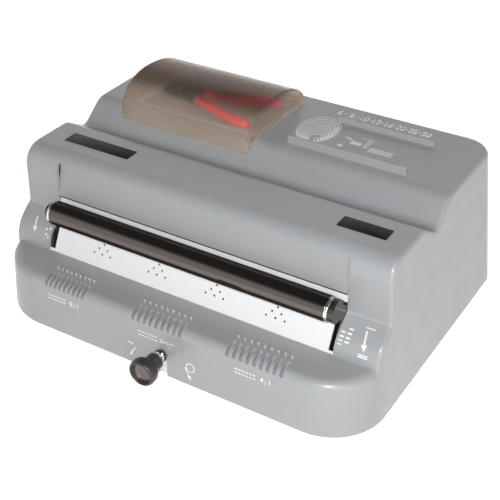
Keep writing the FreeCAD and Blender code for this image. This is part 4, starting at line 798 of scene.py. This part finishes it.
# %% Turn one cap and copy it
STUD_GROUPS = ((-99.2, 5.08), (0.0, 6.0), (96.3, 6.35))
STUDS_PER_GROUP = 9
STUD_Y = 20.5
STUD_FOOT = 57.3
CAP_OUTLINE = [(0, 0), (1.15, 0), (1.25, 0.4), (1.15, 0.9), (0.8, 1.3), (0, 1.45)]

cap = turn_outline(CAP_OUTLINE, steps=12, smooth=60)
caps = []
for middle, pitch in STUD_GROUPS:
    for i in range(STUDS_PER_GROUP):
        x = middle + (i - (STUDS_PER_GROUP - 1) / 2) * pitch
        caps.append(copy_to(cap, at(x, STUD_Y, STUD_FOOT)))
bpy.data.objects.remove(cap)
# Paler grey of the caps: a painted highlight on the grey studs.
finishes["pale_cap"] = make_finish("stud_cap_painted_highlight", (0.50, 0.515, 0.525), 0.38, tone=0.03)
settle(join(caps), "stud_caps", "base", "white_paint", finishes["pale_cap"])

# %% [markdown]
# ## Screen print
# White print marks the pitches, the knob's directions and the gauges on the cheeks and the
# deck. A texture could carry print, but a thin mesh keeps its edges sharp at any distance.
# Strokes are drawn flat, in millimetres, then joined and laid on the surface with the
# thickness of ink. On the cheeks and the rear switch, which are curved, a Shrinkwrap modifier
# first draws them onto the surface.

# %% Straight strokes and arrows
HEAD_SHARE = 0.85
HEAD_TIP = 0.2


def bar(x0, y0, x1, y1, width, far_width=None):
    """Straight stroke; far_width widens or narrows its far end."""
    start = Vector((x0, y0, 0)) * MM
    end = Vector((x1, y1, 0)) * MM
    run = end - start
    bpy.ops.object.select_all(action="DESELECT")
    bpy.ops.mesh.primitive_grid_add(x_subdivisions=4, y_subdivisions=1, size=1)
    stroke = bpy.context.object
    share = (far_width or width) / width
    for point in stroke.data.vertices:
        point.co.y *= 1 + (share - 1) * (point.co.x + 0.5)
    turn = Matrix.Rotation(math.atan2(run.y, run.x), 4, "Z")
    size = Matrix.Diagonal((run.length, width * MM, 1, 1))
    return lay(stroke, Matrix.Translation((start + end) / 2) @ turn @ size)


def arrow(x0, y0, x1, y1, width, head):
    """Stroke with a pointed head at its far end."""
    run = Vector((x1 - x0, y1 - y0)).normalized() * head
    neck_x = x1 - run.x
    neck_y = y1 - run.y
    shaft = bar(x0, y0, neck_x, neck_y, width)
    return [shaft, bar(neck_x, neck_y, x1, y1, head * HEAD_SHARE, HEAD_TIP)]


print("arrow heads are", HEAD_SHARE, "as wide as long")

# %% Dots, circles and characters
DOT_CORNERS = 20
CIRCLE_CORNERS = 56


def disc(x, y, radius, corners=DOT_CORNERS):
    """Filled dot."""
    bpy.ops.object.select_all(action="DESELECT")
    bpy.ops.mesh.primitive_circle_add(vertices=corners, radius=radius * MM, fill_type="NGON")
    return lay(bpy.context.object, Matrix.Translation((x * MM, y * MM, 0)))


def ring(x, y, radius, width):
    """Circle line: a disc whose inset middle is deleted."""
    stroke = disc(x, y, radius, CIRCLE_CORNERS)
    bpy.ops.object.mode_set(mode="EDIT")
    bpy.ops.mesh.select_mode(type="FACE")
    bpy.ops.mesh.select_all(action="SELECT")
    bpy.ops.mesh.inset(thickness=width * MM)
    bpy.ops.mesh.delete(type="FACE")
    bpy.ops.object.mode_set(mode="OBJECT")
    return stroke


def words(text, x, y, size, bold, spacing=1.0):
    """Characters, centred on a place."""
    bpy.ops.object.select_all(action="DESELECT")
    bpy.ops.object.text_add()
    line = bpy.context.object
    line.data.body = text
    line.data.size = size * MM
    line.data.offset = bold * MM
    line.data.space_character = spacing
    line.data.align_x = "CENTER"
    line.data.align_y = "CENTER"
    bpy.ops.object.convert(target="MESH")
    return lay(bpy.context.object, Matrix.Translation((x * MM, y * MM, 0)))


print("printed circles have", CIRCLE_CORNERS, "corners")

# %% Laying print on a surface
INK = 0.05
WRAP_GAP = 0.02

finishes["ink"] = make_finish("white_ink", (0.88, 0.88, 0.86), 0.42, tone=0.04, scale=2000.0, depth=0.01)


def plane(origin, along, up):
    """Matrix that lays a drawing on a plane through an origin."""
    along = along.normalized()
    up = up.normalized()
    turned = Matrix((along, up, along.cross(up))).transposed().to_4x4()
    return Matrix.Translation(origin) @ turned


def print_on(strokes, name, matrix, body="base", wrap=None):
    """Joins strokes and puts them on a surface with the thickness of ink."""
    drawing = lay(join(strokes), matrix)
    if wrap:
        apply_modifier(drawing, "SHRINKWRAP", target=nodes[wrap], wrap_mode="ABOVE_SURFACE",
                       offset=WRAP_GAP * MM)
    apply_modifier(drawing, "SOLIDIFY", thickness=INK * MM, offset=1)
    return settle(drawing, name, body, "white_paint", finishes["ink"])


print("print is", INK, "mm thick")

# %% [markdown]
# ## Print on the front lip
# Under each groove group stands its pitch, with two rows of dashes beside it. The knob has a
# direction mark on each side: a dash over a bent stroke on the left, and a loop with an arrow
# on the right. A pitch is given by its place, its boldness and its spacing.

# %% Pitch names and knob marks
PITCHES = [("5:1", -88.5, 35.6, 0.25, 1.3),
           ("6mm", 11.0, 34.7, 0.08, 1.0),
           ("4:1", 107.8, 35.3, 0.25, 1.3)]
PITCH_SIZE = 7.2
DASHES = 6
DASH_START = -29.0
DASH_STEP = 3.4
DASH_LENGTH = 2.5
DASH_WIDTH = 1.1
DASH_ROWS = (2.2, -1.4)
BENT_MARK = [(-29.7, 21.0, -24.4, 20.2, 1.3),
             (-21.6, 17.2, -25.2, 13.0, 0.8, 1.3),
             (-25.0, 13.3, -27.7, 7.2, 1.3, 2.0)]
LOOP_MARK = (35.0, 18.8, 4.6, 0.9)
LOOP_ARROW = (29.7, 17.4, 35.6, 5.3, 1.2, 5.0)
PRINT_GAP = 0.01
LIP_ORIGIN = at(0, -PRINT_GAP, 3)
LIP_UP = Vector((0, 0.04, 1))
RIGHTWARDS = Vector((1, 0, 0))

strokes = []
for name, x, y, bold, spacing in PITCHES:
    strokes.append(words(name, x, y, PITCH_SIZE, bold, spacing))
    for rise in DASH_ROWS:
        for i in range(DASHES):
            left = x + DASH_START + i * DASH_STEP
            strokes.append(bar(left, y + rise, left + DASH_LENGTH, y + rise, DASH_WIDTH))
strokes += [bar(*mark) for mark in BENT_MARK]
strokes.append(ring(*LOOP_MARK))
strokes += arrow(*LOOP_ARROW)
print_on(strokes, "print_lip", plane(LIP_ORIGIN, RIGHTWARDS, LIP_UP))

# %% [markdown]
# ## Print on the cheeks
# Beside each end of the roller an arrow shows which way the roller swings. On the right there
# are bars above and below it and two columns of ticks, on the left four dots. A column is
# given by the two ends of its ticks, its first height, its step and its width.

# %% Cheek scales
RIGHT_ARROW = (169.6, -10.0, 172.7, -27.6, 1.5, 6.0)
RIGHT_BARS = [(168.6, -31.6, 177.0, -31.6, 1.7),
              (168.6, -34.2, 177.0, -34.2, 1.7),
              (167.8, -7.4, 175.6, -7.4, 1.0)]
TICKS = 4
TICK_COLUMNS = [(149.6, 153.2, -17.0, 3.8, 1.5),
                (155.2, 159.0, -13.0, 3.9, 1.7)]
LEFT_ARROW = (-169.2, -11.9, -165.6, -27.4, 1.4, 5.5)
LEFT_DOTS = ((-153.6, -20.8), (-152.5, -26.0), (-149.4, -19.4), (-149.6, -28.4))
LEFT_DOT_RADIUS = 1.1
CHEEK_ORIGIN = at(0, 63.0, 85.6)
CHEEK_UP = Vector((0, 0.8, 0.6))

strokes = arrow(*RIGHT_ARROW)
strokes += [bar(*line) for line in RIGHT_BARS]
for i in range(TICKS):
    for x0, x1, first, step, width in TICK_COLUMNS:
        y = first - step * i
        strokes.append(bar(x0, y, x1, y, width))
strokes += arrow(*LEFT_ARROW)
strokes += [disc(x, y, LEFT_DOT_RADIUS) for x, y in LEFT_DOTS]
print_on(strokes, "print_cheeks", plane(CHEEK_ORIGIN, RIGHTWARDS, CHEEK_UP), wrap="cover_shell")

# %% [markdown]
# ## Print on the deck
# Beside the lid is a gauge of nested circles for choosing a coil by its size, a row of sizes
# behind the rear rib and a small drawing of a book. The circles touch at one point, and each
# is a hair higher than the one around it, so that no two faces lie in one plane. Gauge and row
# are drawn in plain proportions and then stretched in depth, as they look on the deck.

# %% Coil gauge
GAUGE_PLACE = Matrix.Translation((33.7 * MM, 220.5 * MM, 0))
GAUGE_STRETCH = Matrix.Diagonal((1, 1.38, 1, 1))
GAUGE_RADIUS = 19.2
GAUGE_TOUCH = Vector((0.40, -0.917))
GAUGE_RINGS = 9
GAUGE_STEP = 1.65
THIN_RINGS = 4
THIN_RING = 0.9
THICK_RING = 1.1
RING_LIFT = 0.004
RAYS = 11
RAY_START = -66
RAY_STEP = 9.5
RAY_NEAR = GAUGE_RADIUS - 6.0
RAY_FAR = GAUGE_RADIUS - 0.3
RAY_WIDTH = 1.3

gauge = []
for i in range(GAUGE_RINGS):
    shift = GAUGE_TOUCH * (GAUGE_STEP * i)
    width = THIN_RING if i < THIN_RINGS else THICK_RING
    circle = ring(shift.x, shift.y, GAUGE_RADIUS - GAUGE_STEP * i, width)
    gauge.append(lay(circle, Matrix.Translation((0, 0, RING_LIFT * i * MM))))
for i in range(RAYS):
    angle = math.radians(RAY_START + RAY_STEP * i)
    ray = Vector((math.cos(angle), math.sin(angle)))
    near = ray * RAY_NEAR
    far = ray * RAY_FAR
    gauge.append(bar(near.x, near.y, far.x, far.y, RAY_WIDTH))
strokes = [lay(join(gauge), GAUGE_PLACE @ GAUGE_STRETCH)]
print("gauge has", GAUGE_RINGS, "circles and", RAYS, "rays")

# %% Row of sizes
COIL_SIZES = ("6", "8", "10", "12", "16", "20", "25", "30")
ROW_PLACE = Matrix.Translation((0, 261.0 * MM, 0))
ROW_START = 35.0
ROW_STEP = 12.5
ROW_TEXT = 9.4
ROW_BOLD = 0.28
ROW_DOT_SHIFT = 6.3
ROW_DOT_RADIUS = 0.9

row = []
for i, size in enumerate(COIL_SIZES):
    x = ROW_START + i * ROW_STEP
    row.append(words(size, x, 0, ROW_TEXT, ROW_BOLD))
    if i + 1 < len(COIL_SIZES):
        row.append(disc(x + ROW_DOT_SHIFT, 0, ROW_DOT_RADIUS))
strokes.append(lay(join(row), ROW_PLACE @ GAUGE_STRETCH))
print("row has", len(COIL_SIZES), "sizes")

# %% Drawing of a book
BOOK_DOT = (64.6, 203.2, 2.6)
BOOK_BLOCK = (70.3, 213.1, 80.8, 213.1, 5.2)
BOOK_EDGES = [(75.5, 225.3, 88.5, 225.3, 0.7),
              (84.6, 225.3, 84.6, 208.8, 1.1),
              (87.2, 225.3, 87.2, 208.8, 0.8)]
SLANTS = 3
SLANT_STEP = 2.4
SLANT_FROM = (60.5, 220.8)
SLANT_TO = (67.9, 216.3)
SLANT_WIDTH = 0.7
PAGES = 5
PAGE_STEP = 1.7
PAGE_LEFT = 90.5
PAGE_RIGHT = 114.0
PAGE_SHORTER = 2.2
PAGE_LOWEST = 205.6
PAGE_WIDTH = 0.85
DECK_TOP = 148.5
BACKWARDS = Vector((0, 1, 0))

strokes.append(disc(*BOOK_DOT))
strokes.append(bar(*BOOK_BLOCK))
for i in range(SLANTS):
    x0 = SLANT_FROM[0] + SLANT_STEP * i
    x1 = SLANT_TO[0] + SLANT_STEP * i
    strokes.append(bar(x0, SLANT_FROM[1], x1, SLANT_TO[1], SLANT_WIDTH))
strokes += [bar(*line) for line in BOOK_EDGES]
for i in range(PAGES):
    y = PAGE_LOWEST + PAGE_STEP * i
    strokes.append(bar(PAGE_LEFT, y, PAGE_RIGHT - PAGE_SHORTER * (i % 2), y, PAGE_WIDTH))
print_on(strokes, "print_deck", plane(at(0, 0, DECK_TOP + PRINT_GAP), RIGHTWARDS, BACKWARDS))

# %% [markdown]
# ## Seal line and switch marks
# A thin black seal closes the gap between the front panel and the white plate. It is a bar
# along the panel's lower front edge, whose place is read from the panel's own points. The
# rocker switch has the usual I and O.

# %% Seal
SEAL_HEIGHT = 1.3
SEAL_DEPTH = 1.0
EDGE_WITHIN = 0.3

panel_low, panel_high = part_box("front_panel")
edge_top = panel_low.z + EDGE_WITHIN * MM
edge_y = min(v.co.y for v in nodes["front_panel"].data.vertices if v.co.z < edge_top)
seal_middle = Vector((0, edge_y + SEAL_DEPTH * MM / 2, panel_low.z - SEAL_HEIGHT * MM / 2))
seal = block(seal_middle, (panel_high.x - panel_low.x, SEAL_DEPTH * MM, SEAL_HEIGHT * MM))
apply_modifier(seal, "BEVEL", width=0.25 * MM, segments=3)
settle(seal, "panel_seal", "base", "black_plastic")

# %% Switch marks
SWITCH_ON = (0, 3.2, 0, 6.4, 0.8)
SWITCH_OFF = (0, -4.8, 1.7, 0.6)
LEFTWARDS = Vector((-1, 0, 0))
UPWARDS = Vector((0, 0, 1))

rocker_face = middle_of("switch_rocker")
rocker_face.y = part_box("switch_rocker")[1].y
strokes = [bar(*SWITCH_ON), ring(*SWITCH_OFF)]
print_on(strokes, "print_switch", plane(rocker_face, LEFTWARDS, UPWARDS), body="rocker",
         wrap="switch_rocker")
